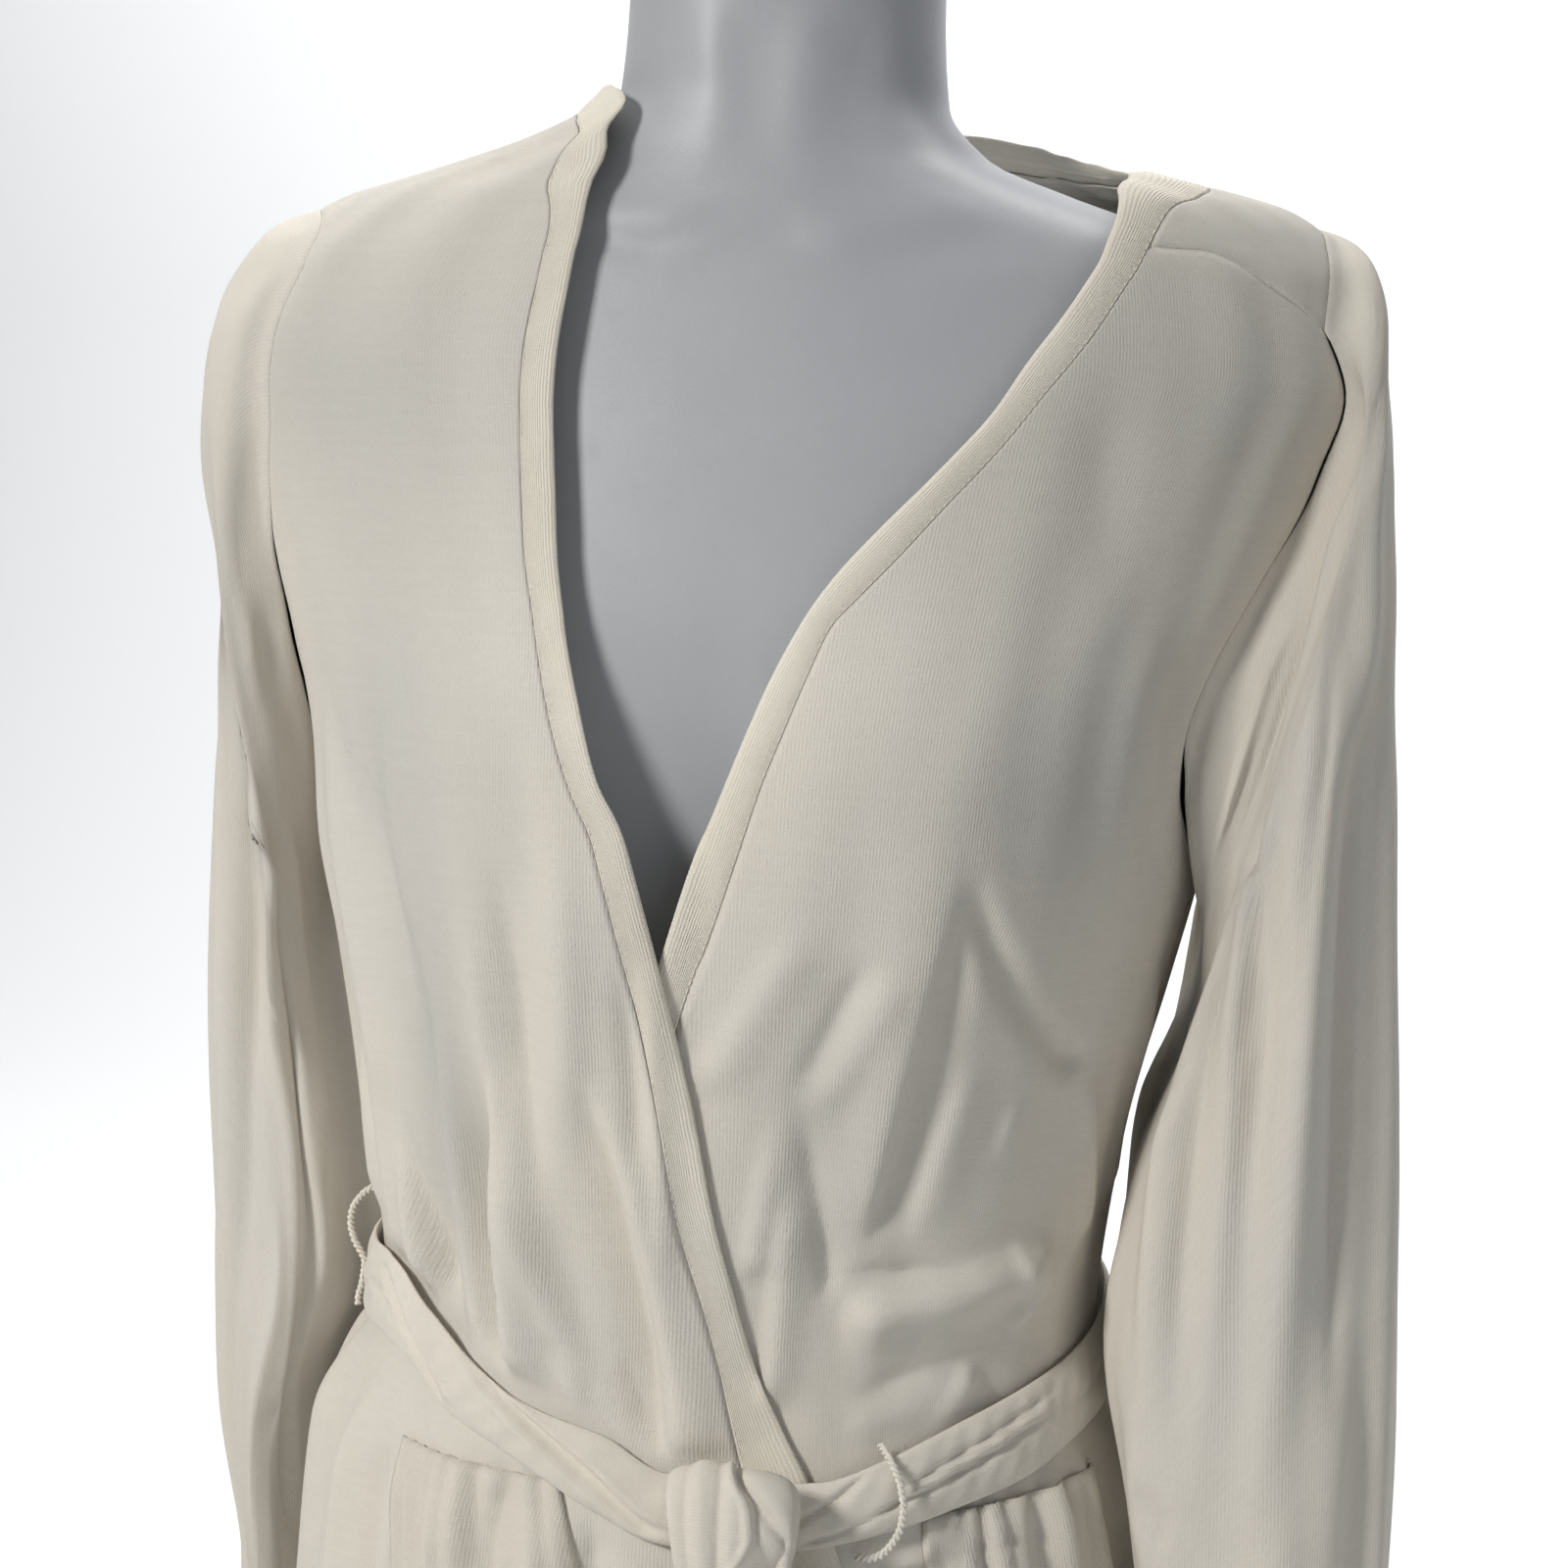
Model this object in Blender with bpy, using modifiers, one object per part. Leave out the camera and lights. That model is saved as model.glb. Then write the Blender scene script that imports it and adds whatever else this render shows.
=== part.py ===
"""A wrap top in fine jersey on a limbless dress form.

The body of the garment is one surface, given by a turn about the upright axis and a height. A turn of
0 degrees is the centre front, 90 the wearer's left side, 180 the centre back and 270 the right side.
Every panel is a four-sided patch of that surface between its seams, and what lies on a panel is the
same surface moved out. Metres, Z up, origin at the middle of the form's base.
"""
import math

import bmesh
import bpy
import numpy as np

MM = 0.001
CLOTH_WALL = 1.1 * MM
BAND_WALL = 1.5 * MM
BELT_WALL = 2.2 * MM
SEAM_GAP = 0.4 * MM
LAP_RAISE = 2.6 * MM
POCKET_LIFT = CLOTH_WALL + 0.5 * MM
THREAD_WIDTH = 1.8 * MM
HEM_HEIGHT = 0.065
ROUNDNESS = 2.25
PROBE = 0.5 * MM
PROBE_TURN = 0.3

CREAM = (0.73, 0.69, 0.61)
BAND_CREAM = (0.78, 0.71, 0.58)
FORM_GREY = (0.50, 0.51, 0.54)


def table(columns, rows):
    """Named columns from short rows of sizes."""
    return dict(zip(columns.split(), np.array(rows, float).T))


# Half-widths and depths of the cloth's inner face at each height.
BODY = table("height right left front back", [
    (0.065, 0.157, 0.162, 0.126, 0.136),
    (0.150, 0.153, 0.156, 0.121, 0.130),
    (0.220, 0.1475, 0.148, 0.116, 0.121),
    (0.290, 0.1425, 0.133, 0.108, 0.104),
    (0.345, 0.124, 0.121, 0.100, 0.086),
    (0.400, 0.130, 0.127, 0.103, 0.088),
    (0.455, 0.1385, 0.139, 0.105, 0.094),
    (0.495, 0.1465, 0.148, 0.104, 0.097),
    (0.545, 0.157, 0.157, 0.098, 0.100),
    (0.585, 0.170, 0.170, 0.089, 0.099),
    (0.625, 0.186, 0.186, 0.080, 0.097),
    (0.655, 0.196, 0.197, 0.073, 0.093),
    (0.683, 0.183, 0.193, 0.067, 0.087),
    (0.697, 0.166, 0.183, 0.064, 0.083),
    (0.706, 0.150, 0.170, 0.062, 0.080),
    (0.712, 0.130, 0.150, 0.060, 0.078),
    (0.718, 0.110, 0.122, 0.059, 0.077),
    (0.726, 0.086, 0.106, 0.0575, 0.075),
    (0.735, 0.067, 0.098, 0.0565, 0.073),
    (0.745, 0.0575, 0.093, 0.0555, 0.071),
    (0.755, 0.0565, 0.091, 0.055, 0.070),
])
# The same for the dress form, which is alike on both sides.
FORM = table("height right left front back", [
    (0.000, 0.138, 0.138, 0.086, 0.098),
    (0.060, 0.146, 0.146, 0.091, 0.106),
    (0.145, 0.148, 0.146, 0.093, 0.108),
    (0.245, 0.135, 0.128, 0.091, 0.092),
    (0.305, 0.120, 0.117, 0.084, 0.074),
    (0.345, 0.113, 0.111, 0.080, 0.068),
    (0.395, 0.117, 0.116, 0.084, 0.072),
    (0.455, 0.130, 0.130, 0.092, 0.082),
    (0.510, 0.141, 0.141, 0.092, 0.089),
    (0.565, 0.154, 0.154, 0.085, 0.092),
    (0.605, 0.171, 0.171, 0.076, 0.091),
    (0.640, 0.184, 0.184, 0.068, 0.087),
    (0.660, 0.186, 0.186, 0.063, 0.083),
    (0.680, 0.173, 0.173, 0.059, 0.078),
    (0.692, 0.153, 0.153, 0.057, 0.074),
    (0.702, 0.127, 0.127, 0.055, 0.070),
    (0.712, 0.097, 0.097, 0.053, 0.066),
    (0.723, 0.070, 0.070, 0.0515, 0.060),
    (0.742, 0.0545, 0.0545, 0.050, 0.055),
    (0.775, 0.052, 0.052, 0.050, 0.051),
    (0.835, 0.0515, 0.0515, 0.050, 0.050),
])
BUST = {"across": 0.085, "height": 0.520, "spread": 0.048, "above": 0.055}
CLOTH_BUST = {"depth": 0.022, "below": 0.085, "bridge": 0.45}
FORM_BUST = {"depth": 0.021, "below": 0.052, "bridge": None}

# The neckband: its free edge and its seam, up the left front, round the neck and down the right front.
NECKBAND = table("edge_turn edge_height seam_turn seam_height", [
    (-34.0, 0.066, -30.0, 0.066),
    (-33.0, 0.200, -29.0, 0.200),
    (-31.0, 0.280, -26.5, 0.279),
    (-27.0, 0.315, -22.5, 0.313),
    (-19.0, 0.360, -14.5, 0.358),
    (-12.0, 0.405, -7.8, 0.403),
    (-6.5, 0.445, -2.8, 0.443),
    (-2.8, 0.480, 0.6, 0.478),
    (0.0, 0.511, 3.4, 0.509),
    (1.7, 0.529, 5.0, 0.527),
    (3.2, 0.544, 6.6, 0.542),
    (4.7, 0.558, 8.0, 0.556),
    (7.2, 0.577, 9.8, 0.573),
    (9.2, 0.588, 11.8, 0.581),
    (12.7, 0.603, 15.3, 0.595),
    (16.7, 0.619, 18.9, 0.611),
    (20.7, 0.637, 23.0, 0.629),
    (23.2, 0.653, 26.2, 0.647),
    (27.2, 0.670, 30.3, 0.664),
    (31.2, 0.686, 34.6, 0.681),
    (34.2, 0.696, 38.2, 0.692),
    (41.2, 0.709, 45.5, 0.704),
    (60.0, 0.716, 64.0, 0.711),
    (90.0, 0.7205, 90.0, 0.7165),
    (105.0, 0.7265, 105.0, 0.7195),
    (120.0, 0.733, 120.0, 0.723),
    (135.0, 0.739, 135.0, 0.7275),
    (150.0, 0.7425, 150.0, 0.7305),
    (180.0, 0.743, 180.0, 0.731),
    (210.0, 0.742, 210.0, 0.730),
    (240.0, 0.744, 240.0, 0.7325),
    (270.0, 0.746, 270.0, 0.736),
    (295.0, 0.743, 290.0, 0.734),
    (318.3, 0.737, 321.5, 0.7245),
    (330.0, 0.725, 331.5, 0.714),
    (337.8, 0.717, 336.5, 0.706),
    (343.2, 0.702, 339.4, 0.699),
    (344.8, 0.687, 341.4, 0.686),
    (345.3, 0.661, 342.0, 0.661),
    (344.8, 0.628, 341.4, 0.628),
    (344.8, 0.596, 341.2, 0.596),
    (345.8, 0.570, 342.4, 0.569),
    (347.8, 0.547, 344.3, 0.545),
    (350.2, 0.525, 347.0, 0.523),
    (352.8, 0.511, 349.4, 0.509),
    (356.8, 0.467, 353.3, 0.465),
    (359.3, 0.434, 355.8, 0.432),
    (361.7, 0.395, 358.2, 0.394),
    (364.2, 0.370, 360.4, 0.369),
    (367.0, 0.347, 362.6, 0.346),
    (371.0, 0.326, 364.6, 0.324),
    (374.7, 0.309, 366.4, 0.308),
    (379.0, 0.280, 371.5, 0.280),
    (383.0, 0.200, 377.0, 0.200),
    (386.0, 0.066, 381.6, 0.066),
])
LEFT_CORNER_ROW = 20
LEFT_YOKE_ROW = 25
RIGHT_YOKE_ROW = 30
RIGHT_NECK_ROW = 31
NECK_COLUMNS = 12
YOKE_COLUMNS = 5
LEFT_YOKE_ROWS = 9
RIGHT_YOKE_ROWS = 5
SIDE_ROWS = 17
ARMHOLE_ROWS = 12
PANEL_ROWS = SIDE_ROWS + ARMHOLE_ROWS - 1
HIDDEN_SINK = 2.6 * MM

# Side seams, armholes and shoulder seams.
RIGHT_FRONT_ARMHOLE = table("turn height", [
    (270.0, 0.704), (290.0, 0.701), (303.0, 0.693), (307.8, 0.679), (308.3, 0.660), (304.8, 0.634),
    (297.8, 0.609), (285.0, 0.561), (278.0, 0.528), (270.0, 0.497),
])
RIGHT_SHOULDER_ARMHOLE = table("turn height", [(248.0, 0.697), (258.0, 0.702), (270.0, 0.704)])
RIGHT_BACK_ARMHOLE = table("turn height", [
    (248.0, 0.697), (238.0, 0.682), (235.0, 0.655), (236.0, 0.620), (242.0, 0.572), (252.0, 0.525),
    (270.0, 0.497),
])
LEFT_SHOULDER_ARMHOLE = table("turn height", [
    (112.0, 0.699), (101.0, 0.705), (90.0, 0.707), (76.0, 0.699), (67.0, 0.686), (63.5, 0.669),
])
LEFT_FRONT_ARMHOLE = table("turn height", [
    (63.5, 0.669), (67.0, 0.657), (70.8, 0.640), (72.3, 0.616), (69.0, 0.589),
    (64.5, 0.562), (63.0, 0.544), (65.5, 0.523), (75.0, 0.504), (90.0, 0.493),
])
LEFT_BACK_ARMHOLE = table("turn height", [
    (112.0, 0.699), (121.0, 0.684), (125.0, 0.657), (124.0, 0.622), (118.0, 0.572), (108.0, 0.523),
    (90.0, 0.493),
])
LEFT_SHOULDER_SEAM = table("turn height", [(38.2, 0.692), (44.7, 0.6915), (53.7, 0.682), (63.5, 0.669)])

# Creases: a line from one point of the surface to another, its half-width, and how far it stands out.
CREASES = table("turn height to_turn to_height width depth", [
    (-56, 0.530, -47, 0.370, 0.010, 0.0038),
    (-67, 0.540, -63, 0.395, 0.009, 0.0042),
    (-28, 0.455, -26, 0.330, 0.009, -0.0044),
    (-20, 0.460, -19, 0.330, 0.010, 0.0040),
    (-13, 0.530, -15, 0.430, 0.010, 0.0022),
    (-12, 0.450, -1, 0.340, 0.009, 0.0044),
    (13, 0.440, 12, 0.365, 0.008, 0.0044),
    (16, 0.500, 5, 0.440, 0.009, 0.0032),
    (28, 0.520, 18, 0.370, 0.011, 0.0056),
    (32, 0.505, 25, 0.380, 0.009, -0.0036),
    (32, 0.500, 55, 0.438, 0.009, -0.0044),
    (46, 0.450, 37, 0.380, 0.009, 0.0038),
    (50, 0.590, 50, 0.470, 0.010, -0.0030),
    (16, 0.362, 62, 0.376, 0.012, 0.0085),
    (58, 0.445, 72, 0.375, 0.010, 0.0048),
    (-28, 0.318, -27, 0.060, 0.012, 0.0080),
    (-10, 0.306, -11, 0.060, 0.011, 0.0065),
    (-46, 0.325, -48, 0.060, 0.011, 0.0055),
    (32, 0.302, 31, 0.060, 0.009, 0.0050),
    (48, 0.312, 46, 0.060, 0.011, 0.0070),
    (64, 0.316, 66, 0.060, 0.010, 0.0070),
    (80, 0.320, 84, 0.060, 0.011, 0.0060),
    (-72, 0.335, -74, 0.060, 0.012, 0.0065),
    (106, 0.325, 104, 0.060, 0.012, 0.0070),
    (126, 0.330, 128, 0.060, 0.013, 0.0085),
    (149, 0.335, 146, 0.060, 0.013, 0.0070),
    (172, 0.340, 173, 0.060, 0.014, 0.0090),
    (195, 0.340, 198, 0.060, 0.013, 0.0070),
    (217, 0.340, 215, 0.060, 0.013, 0.0085),
    (238, 0.345, 240, 0.060, 0.012, 0.0070),
    (258, 0.345, 257, 0.060, 0.012, 0.0065),
    (118, 0.560, 140, 0.390, 0.013, 0.0055),
    (146, 0.530, 160, 0.390, 0.012, 0.0048),
    (242, 0.560, 221, 0.400, 0.013, 0.0055),
    (213, 0.520, 202, 0.400, 0.012, 0.0048),
    (180, 0.480, 181, 0.395, 0.014, 0.0044),
])
CREASE_RADIUS = 0.125
BELT_HOLD = 0.042

# The belt's two edges round the waist, from behind the knot and back to it.
BELT = table("turn top bottom", [
    (8.0, 0.310, 0.289), (16.0, 0.311, 0.292), (24.7, 0.317, 0.296), (35.7, 0.325, 0.301),
    (50.7, 0.333, 0.307), (63.0, 0.338, 0.313), (90.0, 0.348, 0.320), (130.0, 0.357, 0.328),
    (180.0, 0.360, 0.331), (230.0, 0.359, 0.330), (270.0, 0.357, 0.328), (290.0, 0.358, 0.329),
    (303.0, 0.360, 0.331), (310.5, 0.358, 0.330), (316.8, 0.351, 0.3275), (321.8, 0.344, 0.323),
    (326.5, 0.338, 0.318), (335.0, 0.3290, 0.3125), (342.0, 0.3245, 0.3065), (350.8, 0.3200, 0.2975),
    (358.5, 0.3110, 0.2900), (368.0, 0.310, 0.288),
])
KNOT_CENTRE = (0.0185, 0.300)
TAILS = {"right": (2.0, -2.0, 0.050), "left": (13.0, 17.0, 0.044)}
TAIL_TOP = 0.2755
TAIL_HALF_WIDTH = 0.0165

# The thread loops' routes, from above the belt to below it; out is from the cloth's inner face.
BELT_LOOP_LEFT = table("turn height out", [
    (24.0, 0.3360, 0.0044), (24.2, 0.3325, 0.0070), (24.6, 0.3275, 0.0102), (25.4, 0.3200, 0.0126),
    (26.2, 0.3110, 0.0132), (26.4, 0.3020, 0.0130), (25.4, 0.2945, 0.0118), (23.6, 0.2885, 0.0096),
    (21.6, 0.2845, 0.0070), (19.8, 0.2820, 0.0050),
])
BELT_LOOP_RIGHT = table("turn height out", [
    (-84.0, 0.3690, 0.0036), (-84.0, 0.3680, 0.0070), (-84.2, 0.3650, 0.0110), (-84.5, 0.3600, 0.0142),
    (-84.6, 0.3545, 0.0150), (-84.4, 0.3490, 0.0138), (-84.2, 0.3440, 0.0114), (-84.0, 0.3390, 0.0094),
    (-84.0, 0.3330, 0.0086), (-84.0, 0.3270, 0.0072), (-84.0, 0.3225, 0.0040),
])

# Four guide lines of each sleeve at its rings: the outer and inner edge and the depth.
RIGHT_SLEEVE = table("outer outer_height inner inner_height depth middle", [
    (0.157, 0.7055, 0.1540, 0.497, 0.050, 0.004),
    (0.174, 0.699, 0.1550, 0.486, 0.050, 0.004),
    (0.187, 0.686, 0.1555, 0.470, 0.049, 0.005),
    (0.1945, 0.666, 0.1550, 0.452, 0.048, 0.006),
    (0.1925, 0.645, 0.1530, 0.432, 0.046, 0.007),
    (0.1875, 0.600, 0.1480, 0.402, 0.046, 0.008),
    (0.1895, 0.540, 0.1410, 0.362, 0.047, 0.012),
    (0.1935, 0.460, 0.1380, 0.315, 0.048, 0.019),
    (0.1955, 0.380, 0.1350, 0.265, 0.049, 0.028),
    (0.1955, 0.310, 0.1330, 0.215, 0.049, 0.037),
    (0.1885, 0.230, 0.1320, 0.165, 0.049, 0.046),
    (0.1940, 0.150, 0.1320, 0.112, 0.048, 0.053),
    (0.1975, 0.080, 0.1320, 0.066, 0.047, 0.058),
    (0.1990, 0.040, 0.1320, 0.040, 0.046, 0.060),
])
LEFT_SLEEVE = table("outer outer_height inner inner_height depth middle", [
    (0.168, 0.7065, 0.1530, 0.493, 0.052, 0.000),
    (0.182, 0.701, 0.1535, 0.479, 0.053, -0.002),
    (0.192, 0.690, 0.1520, 0.461, 0.054, -0.004),
    (0.198, 0.672, 0.1480, 0.442, 0.054, -0.006),
    (0.2015, 0.648, 0.1400, 0.424, 0.054, -0.010),
    (0.2040, 0.600, 0.1300, 0.400, 0.054, -0.014),
    (0.2070, 0.540, 0.1210, 0.362, 0.054, -0.019),
    (0.2110, 0.460, 0.1170, 0.315, 0.053, -0.025),
    (0.2160, 0.380, 0.1170, 0.265, 0.051, -0.032),
    (0.2180, 0.310, 0.1190, 0.215, 0.049, -0.038),
    (0.2160, 0.230, 0.1220, 0.165, 0.047, -0.042),
    (0.2110, 0.150, 0.1240, 0.112, 0.045, -0.044),
    (0.2060, 0.080, 0.1250, 0.066, 0.043, -0.044),
    (0.2030, 0.040, 0.1250, 0.040, 0.042, -0.044),
])
SLEEVE_FOLDS = table("around drift width depth", [
    (18, 6, 13, 0.0045), (52, -8, 12, 0.0055), (84, 10, 11, 0.0050), (118, -6, 12, 0.0050),
    (205, 8, 13, 0.0050), (245, -8, 14, 0.0055), (285, 6, 13, 0.0050), (325, -6, 13, 0.0045),
])
SLEEVE_CLEAR = table("height gap", [(0.04, 0.0125), (0.300, 0.0120), (0.400, 0.0075), (0.500, 0.0050)])


def smooth(places, values, at):
    """Read a smooth curve through the values, never past them between two rows."""
    at = np.clip(np.asarray(at, float), places[0], places[-1])
    step = np.diff(places)
    slope = np.diff(values) / step
    total = slope[:-1] + slope[1:]
    rising = slope[:-1] * slope[1:] > 0
    tangent = np.zeros_like(values)
    tangent[1:-1] = np.where(rising, 2 * slope[:-1] * slope[1:] / np.where(rising, total, 1), 0)
    tangent[0], tangent[-1] = slope[0], slope[-1]
    row = np.clip(np.searchsorted(places, at) - 1, 0, len(places) - 2)
    t = (at - places[row]) / step[row]
    return ((1 + 2 * t) * (1 - t) ** 2 * values[row] + t * (1 - t) ** 2 * step[row] * tangent[row]
            + t * t * (3 - 2 * t) * values[row + 1] + t * t * (t - 1) * step[row] * tangent[row + 1])


def fade(value):
    """0 below 0, 1 above 1, and an even slope between."""
    t = np.clip(value, 0, 1)
    return t * t * (3 - 2 * t)


def ring_point(sizes, bust, turn, height):
    """A point of the form or the cloth: a rounded ring, and the bust standing out of its front."""
    turn, height = np.broadcast_arrays(np.radians(turn), np.asarray(height, float))
    side, face = np.sin(turn), np.cos(turn)
    power = 2 / ROUNDNESS
    half = np.where(side < 0, smooth(sizes["height"], sizes["right"], height),
                    smooth(sizes["height"], sizes["left"], height))
    depth = np.where(face > 0, -smooth(sizes["height"], sizes["front"], height),
                     smooth(sizes["height"], sizes["back"], height))
    x = half * np.sign(side) * np.abs(side) ** power
    y = depth * np.abs(face) ** power
    away = (np.abs(x) - BUST["across"]) / BUST["spread"]
    across = np.exp(-away ** 2)
    if bust["bridge"] is not None:
        bridge = 1 - bust["bridge"] * (1 - np.abs(x) / BUST["across"]) ** 2
        across = np.where(away > 0, across, bridge)
    reach = np.where(height > BUST["height"], BUST["above"], bust["below"])
    swell = bust["depth"] * across * np.exp(-((height - BUST["height"]) / reach) ** 2)
    y = y - np.where(face > 0, swell * (1 - (np.abs(x) / half) ** 6), 0)
    return np.stack([x, y, height], -1)


def inner_face(turn, height):
    """A point of the cloth's inner face before its creases."""
    return ring_point(BODY, CLOTH_BUST, turn, height)


def belt_middle(turn):
    """Height of the belt's middle at a turn."""
    at = np.mod(np.asarray(turn, float) - 8, 360) + 8
    return smooth(BELT["turn"], (BELT["top"] + BELT["bottom"]) / 2, at)


def folds(turn, height):
    """How far the creases carry the cloth out; the belt holds them flat."""
    total = np.zeros(np.broadcast(turn, height).shape)
    for k in range(len(CREASES["turn"])):
        c = {name: column[k] for name, column in CREASES.items()}
        bend = np.mod(turn - c["turn"] + 180, 360) - 180
        run = np.radians(c["to_turn"] - c["turn"]) * CREASE_RADIUS
        drop = c["to_height"] - c["height"]
        across, up = np.radians(bend) * CREASE_RADIUS, height - c["height"]
        length = math.hypot(run, drop)
        along = (across * run + up * drop) / length ** 2
        aside = (across * drop - up * run) / length
        open_end = c["to_height"] < HEM_HEIGHT + 0.06
        ends = fade(along / 0.3) * (1 if open_end else fade((1 - along) / 0.3))
        total = total + c["depth"] * np.exp(-(aside / c["width"]) ** 2) * ends
    held = 1 - 0.94 * fade((BELT_HOLD - np.abs(height - belt_middle(turn))) / 0.016)
    return total * held


def lap(turn, height):
    """How far the right front is raised where it lies on the left front."""
    rows = slice(0, LEFT_CORNER_ROW)
    turn = np.mod(np.asarray(turn, float) + 180, 360) - 180
    start = smooth(NECKBAND["edge_height"][rows], NECKBAND["edge_turn"][rows], height) - 16
    return LAP_RAISE * fade((turn - start) / 9) * fade((0.520 - height) / 0.035)


def sink(turn, height):
    """How far the left front lies in under the right one, where it is hidden."""
    rows = slice(RIGHT_NECK_ROW + 8, None)
    lowered = -np.asarray(height, float)
    over = smooth(-NECKBAND["seam_height"][rows], NECKBAND["seam_turn"][rows] - 360, lowered)
    return -HIDDEN_SINK * fade((over - turn) / 8) * fade((0.455 - height) / 0.03)


def surface(turn, height, out):
    """A point of the draped cloth, moved out from the inner face along the surface's normal."""
    turn, height, out = np.broadcast_arrays(np.asarray(turn, float), np.asarray(height, float), out)
    east = inner_face(turn + PROBE_TURN, height) - inner_face(turn - PROBE_TURN, height)
    rise = inner_face(turn, height + PROBE) - inner_face(turn, height - PROBE)
    normal = np.cross(east, rise)
    normal /= np.linalg.norm(normal, axis=-1, keepdims=True)
    return inner_face(turn, height) + normal * (out + folds(turn, height))[..., None]


def places_along(path, count):
    """Row numbers that are evenly spaced along the smooth curve through a path."""
    rows = np.arange(len(path["turn"]), dtype=float)
    fine = np.linspace(0, rows[-1], 40 * len(rows))
    line = inner_face(smooth(rows, path["turn"], fine), smooth(rows, path["height"], fine))
    run = np.concatenate([[0], np.cumsum(np.linalg.norm(np.diff(line, axis=0), axis=1))])
    return np.interp(np.linspace(0, run[-1], count), run, fine)


def along(path, count):
    """Evenly spaced turns and heights on the smooth curve through a path."""
    rows = np.arange(len(path["turn"]), dtype=float)
    at = places_along(path, count)
    return np.stack([smooth(rows, path["turn"], at), smooth(rows, path["height"], at)], -1)


def flipped(path):
    """The same path from its other end."""
    return {name: column[::-1] for name, column in path.items()}


def shifted(path, turns):
    """The same path a number of degrees round."""
    return {"turn": path["turn"] + turns, "height": path["height"]}


def neck_places(first, last, count):
    """Row numbers evenly spaced along the neckband's seam between two of its rows."""
    rows = slice(first, last + 1)
    path = {"turn": NECKBAND["seam_turn"][rows], "height": NECKBAND["seam_height"][rows]}
    return first + places_along(path, count)


def neck_line(edge, places):
    """Turns and heights of the neckband's seam or free edge at row numbers."""
    rows = np.arange(len(NECKBAND["seam_turn"]), dtype=float)
    return np.stack([smooth(rows, NECKBAND[f"{edge}_{name}"], places) for name in ("turn", "height")], -1)


NECK_PLACES = {
    "left": neck_places(0, LEFT_CORNER_ROW, PANEL_ROWS),
    "left yoke": neck_places(LEFT_CORNER_ROW, LEFT_YOKE_ROW, LEFT_YOKE_ROWS),
    "back": neck_places(LEFT_YOKE_ROW, RIGHT_YOKE_ROW, NECK_COLUMNS),
    "right yoke": neck_places(RIGHT_YOKE_ROW, RIGHT_NECK_ROW, RIGHT_YOKE_ROWS),
    "right": neck_places(RIGHT_NECK_ROW, len(NECKBAND["seam_turn"]) - 1, PANEL_ROWS),
}


def patch(left, right, bottom, top, seams="left right bottom top"):
    """Fill four edges of turns and heights with a blended grid, trimmed back at its seams."""
    rows, columns = len(left), len(bottom)
    v = np.linspace(0, 1, rows)[:, None, None]
    u = np.linspace(0, 1, columns)[None, :, None]
    corners = ((1 - u) * (1 - v) * bottom[0] + u * (1 - v) * bottom[-1]
               + (1 - u) * v * top[0] + u * v * top[-1])
    grid = (1 - u) * left[:, None] + u * right[:, None] + (1 - v) * bottom[None] + v * top[None] - corners
    for name, edge, inner in (("bottom", 0, 1), ("top", -1, -2)):
        if name in seams:
            grid[edge] += (grid[inner] - grid[edge]) * trim(grid[edge], grid[inner])
    for name, edge, inner in (("left", 0, 1), ("right", -1, -2)):
        if name in seams:
            grid[:, edge] += (grid[:, inner] - grid[:, edge]) * trim(grid[:, edge], grid[:, inner])
    return grid


def trim(edge, inner):
    """The share of a cell that the seam gap takes off at its edge."""
    width = np.linalg.norm(inner_face(*edge.T) - inner_face(*inner.T), axis=-1)
    return np.clip(SEAM_GAP / width, 0, 0.6)[:, None]


def make_material(name, colour, roughness):
    """A plain Principled material."""
    material = bpy.data.materials.new(name)
    material.use_nodes = True
    shader = material.node_tree.nodes["Principled BSDF"]
    shader.inputs["Base Color"].default_value = (*colour, 1)
    shader.inputs["Roughness"].default_value = roughness
    return material


def grid_faces(rows, columns, closed):
    """Quads of a grid, joined round its columns where it is closed."""
    last = columns if closed else columns - 1
    for row in range(rows - 1):
        for column in range(last):
            right = (column + 1) % columns
            yield (row * columns + column, row * columns + right,
                   (row + 1) * columns + right, (row + 1) * columns + column)


def add_mesh(name, points, faces, material):
    """A mesh object in the garment's collection."""
    mesh = bpy.data.meshes.new(name)
    mesh.from_pydata([tuple(p) for p in np.reshape(points, (-1, 3))], [], list(faces))
    mesh.shade_smooth()
    thing = bpy.data.objects.new(name, mesh)
    bpy.data.collections["wrap top"].objects.link(thing)
    mesh.materials.append(material)
    return thing


def thicken(thing, thickness, offset):
    """Give an open sheet its thickness; offset 1 grows it outwards and -1 inwards."""
    solidify = thing.modifiers.new("wall", "SOLIDIFY")
    solidify.thickness = thickness
    solidify.offset = offset
    return thing


def wall(name, grid, thickness, material, closed=False, offset=1.0):
    """A sheet on one grid, given its thickness."""
    rows, columns = grid.shape[:2]
    return thicken(add_mesh(name, grid, grid_faces(rows, columns, closed), material), thickness, offset)


def closed_solid(name, grid, material):
    """A ring-by-ring loft, closed at both ends by a flat cap."""
    rows, columns = grid.shape[:2]
    faces = list(grid_faces(rows, columns, True))
    faces.append(tuple(reversed(range(columns))))
    faces.append(tuple(range((rows - 1) * columns, rows * columns)))
    return add_mesh(name, grid, faces, material)


def dress_form(material):
    """The form: rings from a flat base to the top of the neck."""
    low, shoulder = np.linspace(0, 0.60, 13), np.linspace(0.635, 0.75, 11)
    heights = np.concatenate([low, shoulder, [0.78, 0.835]])
    turns = np.arange(0, 360, 15.0)
    grid = ring_point(FORM, FORM_BUST, turns[None], heights[:, None])
    return closed_solid("dress_form", grid, material)


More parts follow.
